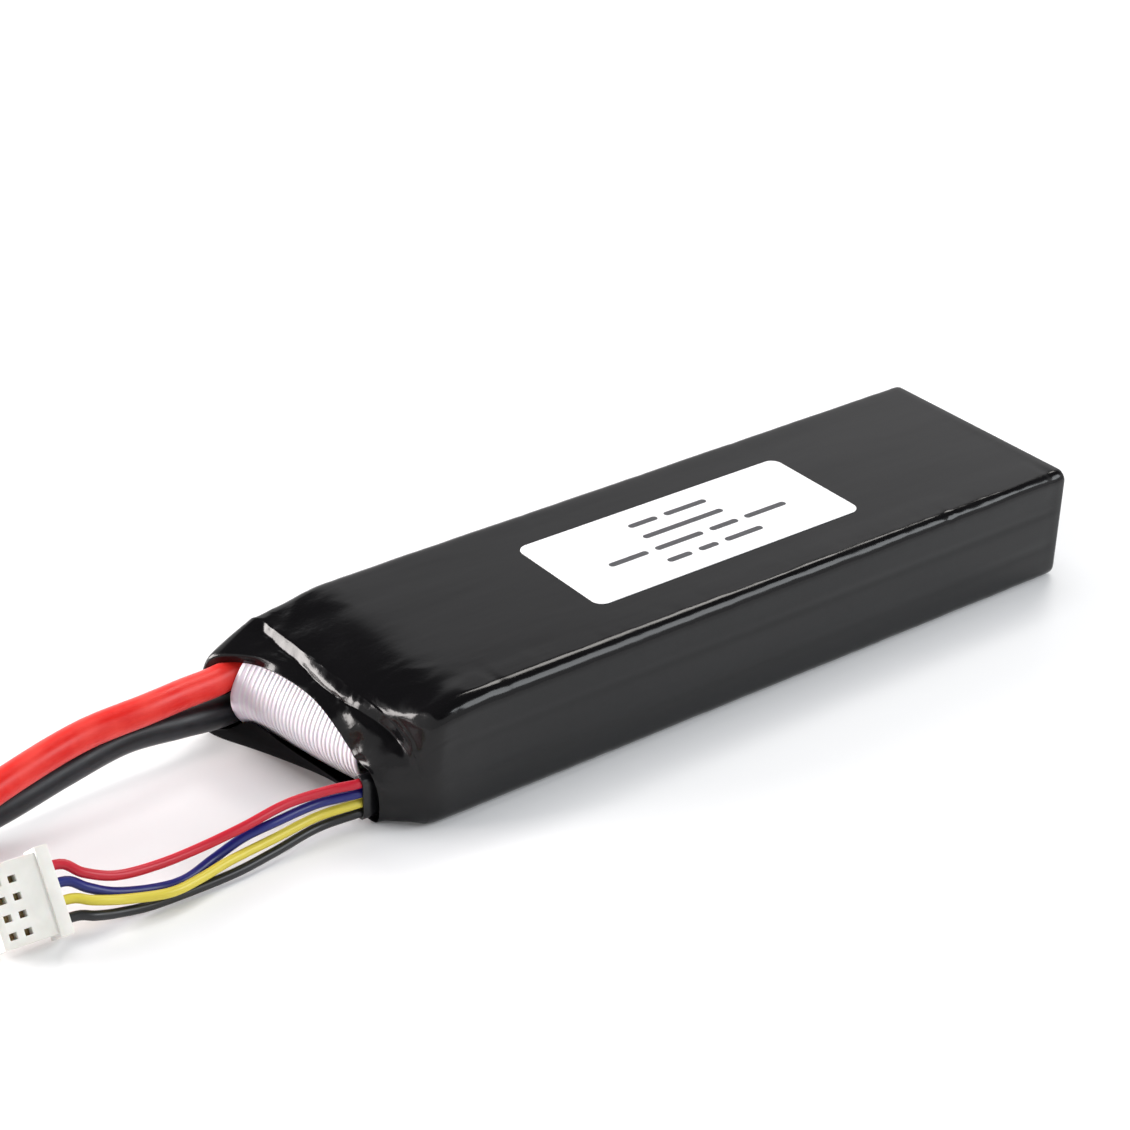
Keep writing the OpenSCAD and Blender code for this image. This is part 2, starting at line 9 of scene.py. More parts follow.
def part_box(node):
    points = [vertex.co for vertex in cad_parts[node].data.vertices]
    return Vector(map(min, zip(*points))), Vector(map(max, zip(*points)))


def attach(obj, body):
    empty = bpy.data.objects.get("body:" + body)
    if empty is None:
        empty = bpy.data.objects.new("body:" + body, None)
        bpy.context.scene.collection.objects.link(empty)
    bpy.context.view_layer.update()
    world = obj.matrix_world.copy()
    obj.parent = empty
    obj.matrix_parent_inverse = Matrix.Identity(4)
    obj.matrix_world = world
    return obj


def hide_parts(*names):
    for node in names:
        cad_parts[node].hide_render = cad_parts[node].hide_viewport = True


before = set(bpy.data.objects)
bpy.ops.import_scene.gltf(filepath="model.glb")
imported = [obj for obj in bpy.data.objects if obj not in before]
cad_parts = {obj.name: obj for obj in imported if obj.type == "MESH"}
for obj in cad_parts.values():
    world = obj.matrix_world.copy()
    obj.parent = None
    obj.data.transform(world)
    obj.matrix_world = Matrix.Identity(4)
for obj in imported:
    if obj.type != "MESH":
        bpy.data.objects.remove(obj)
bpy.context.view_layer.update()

# ---- camera ----
# A short telephoto on a tripod, above the wired end of the pack and a little to its right.
# It is held a touch off level, and nothing is shifted.
turn, height, tilt = math.radians(-37.67), math.radians(29.77), math.radians(1.338)
backward = Vector((math.sin(turn) * math.cos(height), -math.cos(turn) * math.cos(height), math.sin(height)))
level = Vector((math.cos(turn), math.sin(turn), 0))
upright = backward.cross(level)
axes = (
    level * math.cos(tilt) + upright * math.sin(tilt),
    upright * math.cos(tilt) - level * math.sin(tilt),
    backward,
)
focal_length, film_width, stand = 78.98, 36, (-0.2302, -0.2731, 0.21998)
camera = bpy.data.objects.new("camera", bpy.data.cameras.new("camera"))
camera.data.lens = focal_length
camera.data.sensor_width = film_width
camera.data.clip_start = 0.01
camera.matrix_world = Matrix.Translation(stand) @ Matrix(axes).transposed().to_4x4()
bpy.context.scene.collection.objects.link(camera)
bpy.context.scene.camera = camera
bpy.context.scene.view_settings.view_transform = "Standard"


# ---- main leads ----
# Two 12 AWG leads of fine tinned strands in thick silicone rubber, red and black. They are soldered
# to the tab board inside the hood, and run to the power plug, which lies just outside the view.
def bend(a, b, c, d, t):
    """The point a share t of the way from b to c, on a smooth curve that also passes a and d."""
    return 0.5 * (2 * b + (c - a) * t + (2 * a - 5 * b + 4 * c - d) * t**2 + (3 * b - a - 3 * c + d) * t**3)


def sprung(rows, step):
    """A smooth curve through points given in millimetres, cut into even steps, in metres."""
    points = np.array([rows[0], *rows, rows[-1]], float) / 1000
    fine = []
    for i in range(1, len(points) - 2):
        fine += [bend(*points[i - 1 : i + 3], t) for t in np.linspace(0, 1, 24, endpoint=False)]
    fine = np.array([*fine, points[-1]])
    run = np.r_[0, np.cumsum(np.linalg.norm(np.diff(fine, axis=0), axis=1))]
    at = np.linspace(0, run[-1], max(3, round(run[-1] / step)))
    return np.array([np.interp(at, run, fine[:, k]) for k in range(3)]).T, run[-1]


def new_piece(name, points, faces, material=None, uv=None, smooth=True):
    """A mesh object at the origin from points in metres; uv gives one pair for each face corner."""
    mesh = bpy.data.meshes.new(name)
    mesh.from_pydata([tuple(p) for p in points], [], faces)
    if uv is not None:
        layer = mesh.uv_layers.new(name="UVMap")
        layer.data.foreach_set("uv", np.array(uv, np.float32).ravel())
    for face in mesh.polygons:
        face.use_smooth = smooth
    piece = bpy.data.objects.new(name, mesh)
    bpy.context.scene.collection.objects.link(piece)
    if material:
        mesh.materials.append(material)
    return piece


def hose(name, path, diameter, material, sides=24):
    """A round tube along a path, closed at both ends, with a UV map that runs along it in millimetres."""
    count = len(path)
    points, faces, uv = [], [], []
    along = np.gradient(path, axis=0)
    along /= np.linalg.norm(along, axis=1)[:, None]
    aside = np.cross((0, 0, 1), along)
    aside /= np.linalg.norm(aside, axis=1)[:, None]
    over = np.cross(along, aside)
    run = np.r_[0, np.cumsum(np.linalg.norm(np.diff(path, axis=0), axis=1))] * 1000
    for i in range(count):
        for k in range(sides):
            a = 2 * math.pi * k / sides
            points.append(path[i] + diameter / 2 * (aside[i] * math.cos(a) + over[i] * math.sin(a)))
    width = math.pi * diameter * 1000 / sides
    for i in range(count - 1):
        for k in range(sides):
            l = (k + 1) % sides
            faces.append((i * sides + l, (i + 1) * sides + l, (i + 1) * sides + k, i * sides + k))
            left, right = k * width, (k + 1) * width
            uv += [(right, run[i]), (right, run[i + 1]), (left, run[i + 1]), (left, run[i])]
    faces.append(tuple(range(sides)))
    faces.append(tuple(reversed(range((count - 1) * sides, count * sides))))
    uv += [(0, 0)] * (2 * sides)
    return new_piece(name, points, faces, material, uv)


def shade(code):
    """An sRGB hex colour as the linear values that a shader takes."""
    parts = [int(code[i : i + 2], 16) / 255 for i in (1, 3, 5)]
    return (*[p / 12.92 if p <= 0.04045 else ((p + 0.055) / 1.055) ** 2.4 for p in parts], 1)


def add(tree, kind, inputs=None, **settings):
    """Adds a node with its settings. An input is a value, or a (node, output) pair to link it to."""
    made = tree.nodes.new(kind)
    for name, value in settings.items():
        setattr(made, name, value)
    for name, value in (inputs or {}).items():
        if isinstance(value, tuple) and isinstance(value[0], bpy.types.Node):
            tree.links.new(value[0].outputs[value[1]], made.inputs[name])
        else:
            made.inputs[name].default_value = value
    return made


def new_material(name):
    """An empty material and its tree, with the output that its shader goes to."""
    made = bpy.data.materials.new(name)
    made.use_nodes = True
    made.node_tree.nodes.clear()
    return made, made.node_tree


def close(tree, surface):
    """Links the finished shader to the material's output."""
    add(tree, "ShaderNodeOutputMaterial", {"Surface": (surface, 0)})


# silicone rubber, extruded: dull, with a soft wide highlight, very fine draw lines along it and a
# little talc, which lifts its colour in patches a few millimetres long
def silicone(name, deep, dusted, gloss):
    made, tree = new_material(name)
    surface = add(tree, "ShaderNodeTexCoord")
    lines = add(tree, "ShaderNodeMapping", {"Vector": (surface, "UV"), "Scale": (2.2, 0.05, 1)})
    drawn = add(tree, "ShaderNodeTexNoise", {"Vector": (lines, 0), "Scale": 1.0, "Detail": 3.0})
    talc = add(tree, "ShaderNodeTexNoise", {"Vector": (surface, "Object"), "Scale": 260.0, "Detail": 5.0})
    colour = add(tree, "ShaderNodeValToRGB", {"Fac": (talc, "Fac")})
    colour.color_ramp.elements[0].position, colour.color_ramp.elements[0].color = 0.35, shade(deep)
    colour.color_ramp.elements[1].position, colour.color_ramp.elements[1].color = 0.8, shade(dusted)
    rough = add(
        tree, "ShaderNodeMapRange",
        {"Value": (talc, "Fac"), "From Min": 0.3, "From Max": 0.7, "To Min": gloss, "To Max": gloss + 0.12},
    )
    relief = add(tree, "ShaderNodeBump", {"Height": (drawn, "Fac"), "Strength": 0.12, "Distance": 0.00006})
    body = add(
        tree, "ShaderNodeBsdfPrincipled",
        {
            "Base Color": (colour, "Color"), "Roughness": (rough, "Result"), "Normal": (relief, "Normal"),
            "IOR": 1.42, "Sheen Weight": 0.08, "Sheen Roughness": 0.5,
        },
    )
    close(tree, body)
    return made


silicone_red = silicone("red_silicone_rubber", "#dc1a12", "#ee4036", 0.34)
silicone_black = silicone("black_silicone_rubber", "#0d0e11", "#22242a", 0.32)
lead_routes = {
    "red": [
        (-62.5, 17.3, 12.55), (-64.5, 17.3, 12.55), (-69, 18, 12), (-74, 17.5, 11.5), (-80, 16.8, 11.8),
        (-87, 15.9, 12), (-97, 16.2, 11.3), (-107, 14.8, 10.2), (-118, 12.6, 8.4), (-129, 9.9, 5.4),
        (-137, 8.7, 3.3), (-145, 8.3, 2.5), (-153, 8.4, 3.2), (-161, 8.4, 4.1), (-168, 8.4, 4.1),
    ],
    "black": [
        (-62.5, 17.3, 4.95), (-64.5, 17.3, 4.95), (-69, 18.3, 5), (-75, 17.6, 5.5), (-81, 17.4, 6.3),
        (-90.5, 17.7, 6.9), (-101.5, 16.4, 5.9), (-112.5, 14.9, 4.5), (-123.5, 14.8, 2.9),
        (-134.5, 15.5, 2.5), (-145, 15.6, 2.5), (-153, 15.6, 3.2), (-161, 15.6, 4.1), (-168, 15.6, 4.1),
    ],
}
lead_diameter = 0.0048
leads = {}
for colour, material in (("red", silicone_red), ("black", silicone_black)):
    path, length = sprung(lead_routes[colour], 0.0007)
    lead = hose(f"main_lead_{colour}_insulation", path, lead_diameter, material, 32)
    leads[colour] = (lead, path, length)
    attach(lead, "root")
    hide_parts(f"main_lead_{colour}")


# ---- power plug ----
# A two-pole plug of yellow glass-filled nylon: a keyed housing with a cap pressed on behind, two gold
# plated sockets with solder cups, and a shrink sleeve over each cup. It is outside the view.
def softened(node, name, width, material, angle=28, segments=3):
    """A copy of a CAD node, its triangles joined to whole faces and its edges broken by a small round."""
    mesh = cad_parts[node].data.copy()
    form = bmesh.new()
    form.from_mesh(mesh)
    bmesh.ops.remove_doubles(form, verts=form.verts, dist=2e-6)
    bmesh.ops.dissolve_limit(form, angle_limit=math.radians(0.8), verts=form.verts, edges=form.edges)
    form.to_mesh(mesh)
    form.free()
    rough = bpy.data.objects.new(name + "_rough", mesh)
    bpy.context.scene.collection.objects.link(rough)
    bevel = rough.modifiers.new("broken_edges", "BEVEL")
    bevel.width, bevel.segments = width, segments
    bevel.limit_method, bevel.angle_limit = "ANGLE", math.radians(angle)
    bevel.harden_normals = False
    ready = bpy.data.meshes.new_from_object(rough.evaluated_get(bpy.context.evaluated_depsgraph_get()))
    bpy.data.objects.remove(rough)
    ready.name = name
    ready.materials.clear()
    ready.materials.append(material)
    piece = bpy.data.objects.new(name, ready)
    bpy.context.scene.collection.objects.link(piece)
    for face in ready.polygons:
        face.use_smooth = True
    with bpy.context.temp_override(object=piece, active_object=piece, selected_editable_objects=[piece]):
        bpy.ops.object.shade_smooth_by_angle(angle=math.radians(40), keep_sharp_edges=False)
    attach(piece, "root")
    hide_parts(node)
    return piece


def mottled(tree, scale, detail, deep, pale):
    """Noise through the piece, and a colour that drifts with it between two shades."""
    surface = add(tree, "ShaderNodeTexCoord")
    cloud = add(tree, "ShaderNodeTexNoise", {"Vector": (surface, "Object"), "Scale": scale, "Detail": detail})
    tones = {0: (cloud, "Fac"), 6: shade(deep), 7: shade(pale)}
    return surface, cloud, add(tree, "ShaderNodeMix", tones, data_type="RGBA")


# nylon 6 with glass fibre, moulded: a fine even grain with a low gloss, its colour a little cloudy
def nylon(name, deep, pale, gloss, grain):
    made, tree = new_material(name)
    surface, cloud, colour = mottled(tree, 420.0, 3.0, deep, pale)
    tiny = add(tree, "ShaderNodeTexNoise", {"Vector": (surface, "Object"), "Scale": 5200.0, "Detail": 2.0})
    relief = add(tree, "ShaderNodeBump", {"Height": (tiny, "Fac"), "Strength": grain, "Distance": 0.00003})
    rough = add(
        tree, "ShaderNodeMapRange",
        {"Value": (cloud, "Fac"), "From Min": 0.3, "From Max": 0.7, "To Min": gloss, "To Max": gloss + 0.1},
    )
    body = add(
        tree, "ShaderNodeBsdfPrincipled",
        {
            "Base Color": (colour, 2), "Roughness": (rough, "Result"), "Normal": (relief, "Normal"),
            "IOR": 1.53, "Subsurface Weight": 0.12, "Subsurface Scale": 0.0006,
        },
    )
    close(tree, body)
    return made


# a plated or bare metal: bright, with short random scuffs from handling that dull it in places
def bright_metal(name, deep, pale, gloss, scuffs=900.0):
    made, tree = new_material(name)
    _, scuff, colour = mottled(tree, scuffs, 6.0, deep, pale)
    rough = add(
        tree, "ShaderNodeMapRange",
        {"Value": (scuff, "Fac"), "From Min": 0.35, "From Max": 0.65, "To Min": gloss, "To Max": gloss + 0.2},
    )
    relief = add(tree, "ShaderNodeBump", {"Height": (scuff, "Fac"), "Strength": 0.08, "Distance": 0.00003})
    body = add(
        tree, "ShaderNodeBsdfPrincipled",
        {
            "Base Color": (colour, 2), "Roughness": (rough, "Result"), "Normal": (relief, "Normal"),
            "Metallic": 1.0,
        },
    )
    close(tree, body)
    return made


# thin polyolefin sleeve, shrunk by hot air: satin, with soft ripples a couple of millimetres apart
def shrunk_sleeve(name, deep, pale):
    made, tree = new_material(name)
    _, ripple, colour = mottled(tree, 450.0, 3.0, deep, pale)
    relief = add(tree, "ShaderNodeBump", {"Height": (ripple, "Fac"), "Strength": 0.35, "Distance": 0.0002})
    body = add(
        tree, "ShaderNodeBsdfPrincipled",
        {"Base Color": (colour, 2), "Roughness": 0.3, "Normal": (relief, "Normal"), "IOR": 1.5},
    )
    close(tree, body)
    return made


def dress(material, *nodes):
    """Gives CAD nodes whose shape is right their own finish."""
    for name in nodes:
        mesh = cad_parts[name].data
        mesh.materials.clear()
        mesh.materials.append(material)


yellow_nylon = nylon("yellow_glass_filled_nylon", "#d9a400", "#f0be14", 0.38, 0.12)
gold_plate = bright_metal("gold_plated_brass", "#c9992f", "#e8c464", 0.16)
plug_body = softened("power_plug", "power_plug_moulding", 0.0003, yellow_nylon)
plug_cap = softened("power_plug_cap", "power_plug_cap_moulding", 0.0003, yellow_nylon)
dress(gold_plate, "contact_positive", "contact_negative")
red_polyolefin = shrunk_sleeve("red_polyolefin_sleeve", "#a8120e", "#c92a22")
cup_red = softened("cup_sleeve_red", "cup_sleeve_red_shrunk", 0.0001, red_polyolefin)
black_polyolefin = shrunk_sleeve("black_polyolefin_sleeve", "#0d0d0f", "#1c1c20")
cup_black = softened("cup_sleeve_black", "cup_sleeve_black_shrunk", 0.0001, black_polyolefin)

# tinned copper strands, stripped at the board and at the cups
strand_metal = bright_metal("tinned_copper_strands", "#a9937c", "#d5c3ab", 0.3, 2600.0)
dress(strand_metal, "lead_core_red", "lead_core_black")
for colour, leaves_at, contact, cup in (
    ("red", (-0.0735, 0.0176, 0.0116), "contact_positive", cup_red),
    ("black", (-0.0735, 0.0178, 0.0053), "contact_negative", cup_black),
):
    lead, path, length = leads[colour]


# ---- balance wires and their plug ----
# Four thin PVC wires from the cell joints, red, blue, yellow and black. They go through a short
# shrink sleeve at the mouth to a white nylon plug with one crimped terminal for each.
def wire_pvc(name, deep, pale, gloss):
    """PVC insulation, extruded: smooth and evenly glossy, its colour a little uneven along it."""
    made, tree = new_material(name)
    surface = add(tree, "ShaderNodeTexCoord")
    stretch = add(tree, "ShaderNodeMapping", {"Vector": (surface, "UV"), "Scale": (0.5, 0.12, 1)})
    cloud = add(tree, "ShaderNodeTexNoise", {"Vector": (stretch, 0), "Scale": 1.0, "Detail": 4.0})
    colour = add(tree, "ShaderNodeMix", {0: (cloud, "Fac"), 6: shade(deep), 7: shade(pale)}, data_type="RGBA")
    rough = add(
        tree, "ShaderNodeMapRange",
        {"Value": (cloud, "Fac"), "From Min": 0.3, "From Max": 0.7, "To Min": gloss, "To Max": gloss + 0.12},
    )
    relief = add(tree, "ShaderNodeBump", {"Height": (cloud, "Fac"), "Strength": 0.1, "Distance": 0.0001})
    body = add(
        tree, "ShaderNodeBsdfPrincipled",
        {"Base Color": (colour, 2), "Roughness": (rough, "Result"), "Normal": (relief, "Normal"), "IOR": 1.52},
    )
    close(tree, body)
    return made


white_nylon = nylon("white_nylon", "#dedcd4", "#f0efea", 0.36, 0.08)
balance_plug = softened("balance_plug", "balance_plug_moulding", 0.00022, white_nylon)
terminal_tin = bright_metal("tinned_phosphor_bronze", "#9a7f55", "#cdb98e", 0.22, 1400.0)
dress(terminal_tin, "balance_terminals")

wire_diameter = 0.0015
wire_routes = {
    "red": (11, 7.1, [
        (-72, -12.3, 7.1), (-79, -11.5, 7), (-86.5, -11.8, 6.2), (-93.5, -11.6, 5.4), (-100.5, -11.6, 5.3),
        (-107, -11.3, 6), (-111.5, -10.1, 7.7), (-114, -8.33, 9.22), (-118.39, -7.94, 9.22),
    ]),
    "blue": (8.2, 5.35, [
        (-74.2, -12, 5.3), (-82, -12.2, 5.1), (-86.8, -11.8, 4.3), (-92, -12.1, 2.9), (-97.3, -13.4, 2.4),
        (-101.8, -13, 2.5), (-107.8, -12.3, 4), (-111.6, -11.4, 5.9), (-114.14, -9.95, 7.28),
        (-118.53, -9.57, 7.28),
    ]),
    "yellow": (5.4, 3.6, [
        (-74.5, -12.5, 3.4), (-82.2, -13, 3), (-90, -13.7, 2.8), (-95.6, -14.8, 2.7), (-100.8, -15.4, 2.8),
        (-106.8, -14.1, 3.5), (-111.6, -13, 4.7), (-114.29, -11.58, 5.33), (-118.67, -11.2, 5.33),
    ]),
    "black": (2.6, 1.85, [
        (-74.7, -12.6, 1.5), (-83, -13.8, 1.2), (-90.8, -14.6, 1), (-102.5, -14.4, 1), (-108.4, -14, 1.7),
        (-112, -14, 2.8), (-114.43, -13.21, 3.39), (-118.81, -12.82, 3.39),
    ]),
}
wire_colours = {
    "red": ("#ad061d", "#cc1230"), "blue": ("#091158", "#131f7c"),
    "yellow": ("#c9b62c", "#e2d454"), "black": ("#0c0c0e", "#1e1f22"),
}
for colour, (joint_height, sleeve_height, rest) in wire_routes.items():
    start = [
        (-58, -16.8, joint_height), (-58.8, -16.8, joint_height),
        (-63.2, -13.4, sleeve_height), (-67.6, -13.4, sleeve_height),
    ]
    path, length = sprung(start + rest, 0.0006)
    pvc = wire_pvc(f"{colour}_pvc_insulation", *wire_colours[colour], 0.3)
    wire = hose(f"balance_wire_{colour}_insulation", path, wire_diameter, pvc, 18)
    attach(wire, "root")
    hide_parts(f"balance_wire_{colour}")
sleeve_black = shrunk_sleeve("black_shrink_sleeve", "#0b0b0d", "#17171a")
balance_sleeve = softened("balance_sleeve", "balance_sleeve_shrunk", 0.00008, sleeve_black)


# ---- heat-shrink sleeve ----
# A length of flat black PVC tube shrunk tight round the cells. The plain end is rolled over the pad;
# at the wired end it is pinched into a creased hood whose mouth lets the leads and wires out.
def box_outline(x, half_width, low, high, corner, t):
    """A ring of the straight sleeve: t runs round it from 0 to 52, with each corner on four of them."""
    y, mid = half_width - corner, (low + high) / 2
    stops = [0, 3, 3, 7, 7, 19, 19, 23, 23, 29, 29, 33, 33, 45, 45, 49, 49, 52]
    flat = {
        0: ((half_width, mid), (half_width, high - corner)), 4: ((y, high), (-y, high)),
        8: ((-half_width, high - corner), (-half_width, low + corner)), 12: ((-y, low), (y, low)),
        16: ((half_width, low + corner), (half_width, mid)),
    }
    round_at = {
        2: (y, high - corner, 0), 6: (-y, high - corner, 90),
        10: (-y, low + corner, 180), 14: (y, low + corner, 270),
    }
    out = np.zeros((len(t), 3))
    out[:, 0] = x
    for k in range(0, 18, 2):
        here = (t >= stops[k]) & (t <= stops[k + 1])
        part = (t[here] - stops[k]) / (stops[k + 1] - stops[k])
        if k in flat:
            a, b = flat[k]
            out[here, 1], out[here, 2] = a[0] + (b[0] - a[0]) * part, a[1] + (b[1] - a[1]) * part
        else:
            cy, cz, first = round_at[k]
            angle = np.radians(first + 90 * part)
            out[here, 1], out[here, 2] = cy + corner * np.cos(angle), cz + corner * np.sin(angle)
    return out


def outline(points, t):
    """A closed smooth curve through given points of the hood, read where the sleeve's corners run to."""
    points = np.array(points, float)
    count = len(points)
    corners = [0, 3, 7, 19, 23, 29, 33, 45, 49, 52]
    s = np.interp(t, corners, [0, 5, 11, 26, 32, 39.5, 46.5, 61, 67, 72]) / 4
    i = np.floor(s).astype(int)
    f = (s - i)[:, None]
    a, b, c, d = (points[(i + k) % count] for k in (-1, 0, 1, 2))
    out = bend(a, b, c, d, f)
    out[:, 0] += front
    out[:, 2] = np.maximum(0, out[:, 2])
    return out


far, half, tall = (1000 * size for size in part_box("heat_shrink_wrap")[1])
hood_long, skin = 12.9, 0.2
front = hood_long - far
# the hood's crease, lip and mouth: each starts at the far side, goes over the top and back underneath
crease = [
    (-6, 21.5, 10), (-5, 21.4, 16), (-3.5, 20.4, 18.7), (-3, 17, 19), (-2.6, 8, 18.7), (-2, -2, 18.3),
    (-1, -10, 17.4), (0, -15.5, 15.6), (0.5, -18.8, 12.6), (0.8, -20.6, 8), (1, -21, 3.4), (1.1, -19.8, 0.7),
    (0.6, -16.5, 0), (-1, -6, 0), (-3, 6, 0), (-6, 18, 0), (-6.5, 21, 0.8), (-6.4, 21.5, 4),
]
lip = [
    (-12.8, 21.4, 7), (-12.6, 21, 11.6), (-11.4, 19.6, 15.2), (-8, 14, 17), (-4.8, 6, 17.9), (-4.3, -2, 17.7),
    (-3.9, -9, 16.2), (-3.4, -14, 12.6), (-3.1, -16.8, 8.6), (-2.8, -17.7, 4.8), (-2.5, -17, 1.4),
    (-2.8, -14.8, 0), (-3.4, -9.4, 0), (-3.6, -1.4, 0), (-7.7, 10, 0), (-11.2, 17.6, 0), (-12.6, 20.8, 0.6),
    (-12.8, 21.4, 3),
]
mouth = [
    (-12.7, 20.3, 7), (-12.4, 19.9, 11.2), (-10.7, 18.1, 13.9), (-7.8, 13.5, 14.9), (-6.8, 6, 16),
    (-6.2, -1.5, 15.8), (-5.5, -7, 13), (-5.1, -11, 10), (-4.8, -14.6, 9.2), (-4.3, -15.9, 5.5),
    (-4.2, -15.5, 0.6), (-4.6, -12.2, 0.2), (-5, -11, 2.9), (-5.6, -5, 3.4), (-7.4, 4, 4.3),
    (-9.2, 12.4, 5.4), (-11.2, 16.6, 2.6), (-12.6, 20, 2.2),
]
# close stations where the near top edge wrinkles, wider ones under the pack
spans = [
    (0, 3, 8), (3, 7, 10), (7, 14, 30), (14, 19, 34), (19, 23, 20), (23, 26, 22), (26, 29, 12),
    (29, 33, 10), (33, 45, 26), (45, 49, 8), (49, 52, 6),
]
station = np.concatenate([np.linspace(a, b, n, endpoint=False) for a, b, n in spans])
# rings of the turned end and of the hood's shoulder: place, half width, foot, top and corner radius
turned = [
    (far - 0.1, half - 7.75, 5.5, tall - 5.5, 4.5), (far, half - 2.2, 1.8, tall - 1.8, 2.6),
    (far - 0.15, half - 0.7, 0.6, tall - 0.6, 2.0), (far - 0.6, half - 0.15, 0.12, tall - 0.12, 1.8),
    (far - 1.8, half, 0, tall, 1.9),
]
shoulder = [
    (front + 8, half, 0, tall, 2.8), (front + 5, half - 0.05, 0, tall - 0.4, 2.8),
    (front + 2.2, half - 0.25, 0, tall - 1.2, 2.6),
]
knots = [box_outline(*ring, station) for ring in turned + shoulder]
knots = np.array(knots + [outline(edge, station) for edge in (crease, lip, mouth)])


def between(rings, i, steps, before, after):
    """Rings on a smooth curve from ring i to the next one; the ends of a run take no bend from beyond it."""
    shares = np.linspace(0, 1, steps, endpoint=False)
    return [bend(rings[before], rings[i], rings[i + 1], rings[after], f) for f in shares]


lofted = []
for i, steps, before, after in ((0, 6, 0, 2), (1, 6, 0, 3), (2, 5, 1, 4), (3, 5, 2, 4)):
    lofted += between(knots, i, steps, before, after)
end_rings = len(lofted)
body_shares = np.linspace(0, 1, 250, endpoint=False)
lofted += [knots[4] + (knots[5] - knots[4]) * f for f in body_shares]
shoulder_ring = len(lofted)
for i, steps, before, after in ((5, 10, 5, 7), (6, 10, 5, 8), (7, 10, 6, 8)):
    lofted += between(knots, i, steps, before, after)
crease_ring = len(lofted)
for i, steps, before, after in ((8, 26, 8, 10), (9, 12, 8, 10)):
    lofted += between(knots, i, steps, before, after)
lofted = np.array([*lofted, knots[10]])
# the flat top runs into the shoulder with no edge
a, b = shoulder_ring - 32, crease_ring - 4
for _ in range(50):
    lofted[a:b] = (lofted[a - 1 : b - 1] + 2 * lofted[a:b] + lofted[a + 1 : b + 1]) / 4
lofted[:, :, 2] = np.maximum(0, lofted[:, :, 2])
rings, around = lofted.shape[:2]


def outward(grid):
    """The unit normal at every point of a grid of rings."""
    along = np.gradient(grid, axis=0)
    aside = np.roll(grid, -1, axis=1) - np.roll(grid, 1, axis=1)
    n = np.cross(along, aside)
    return n / np.maximum(np.linalg.norm(n, axis=2), 1e-9)[:, :, None]


normal = outward(lofted)


def bell(value, middle, width):
    """1 at the middle, and falling smoothly to nothing about two widths away."""
    return np.exp(-(((value - middle) / width) ** 2))


def ramp(value, low, high):
    """0 up to low and 1 from high, with an even S between them."""
    t = np.clip((value - low) / (high - low), 0, 1)
    return t * t * (3 - 2 * t)


def rippled(points, size, seed, kind="soft"):
    """Noise from -1 to 1 at points in millimetres; size is the spacing of its waves along each axis."""
    flat = (points / np.array(size)).reshape(-1, 3) + seed
    if kind == "soft":
        read = [noise.noise(p) for p in flat]
    else:
        read = [1 - 2 * abs(noise.noise(p)) for p in flat]
    return np.array(read).reshape(points.shape[:-1])


x, z = lofted[:, :, 0], lofted[:, :, 2]
t = np.broadcast_to(station, x.shape)
ring_at = np.arange(rings)[:, None] * np.ones(around)
on_body = ramp(x, front + 2, front + 12) * ramp(-x, -far + 0.5, -far + 4)
near_edge = bell(t, 20.6, 1.9)
far_edge = bell(t, 5.0, 1.9)
side_edge = bell(t, 31, 1.8)
lift = np.zeros(x.shape)
# the shrunk edge: slow waves, and small nicks where the tube puckered as it cooled
slow = rippled(lofted, (9, 30, 30), 3.1)
quick = rippled(lofted, (2.6, 6, 6), 11.7)
nick = np.clip(rippled(lofted, (4.2, 14, 14), 23.5) - 0.28, 0, 1) * 2.2
lift += on_body * near_edge * (0.15 * slow + 0.06 * quick - 0.22 * nick)
lift += on_body * far_edge * (0.07 * slow + 0.03 * quick - 0.08 * nick)
lift += on_body * side_edge * (0.08 * slow + 0.05 * quick)
# the flat faces: long shallow waves along the tube, and the seams of the cells under the side
flat_top = ramp(t, 7, 8.5) * ramp(-t, -18.5, -17)
flat_side = ramp(t, 23, 24.5) * ramp(-t, -29, -27.5) + ramp(-t, -3, -2) + ramp(t, 49.5, 51)
lift += on_body * flat_top * 0.05 * (rippled(lofted, (40, 9, 20), 41.3) - 0.6)
seams = 0.09 * bell(z, 6.9, 0.8) + 0.07 * bell(z, 13.8, 0.8)
lift += on_body * flat_side * (0.07 * rippled(lofted, (26, 20, 5), 57.9) - 0.05 - seams)
# the hood's shoulder: a few broad folds that gather towards the crease
gather = ramp(-x, -(front + 14), -(front + 1)) * (ring_at <= crease_ring)
upper = (t < 24) | (t > 51)
lift += gather * upper * (0.14 * rippled(lofted, (9, 6, 9), 71.1) - 0.05)
near_folds = rippled(lofted, (7, 3.4, 4), 83.3, "ridged") - 0.55
far_folds = rippled(lofted, (6, 4.2, 5), 91.3, "ridged") - 0.55
side_folds = ramp(-x, -(front + 12), -front) * rippled(lofted, (5, 20, 6.5), 97.1)
lift += gather * ramp(t, 13, 18) * ramp(-t, -29, -24) * 0.15 * near_folds
lift += gather * ramp(-t, -11, -7) * 0.14 * far_folds
lift += ramp(t, 22.5, 24) * ramp(-t, -30, -28) * 0.16 * side_folds
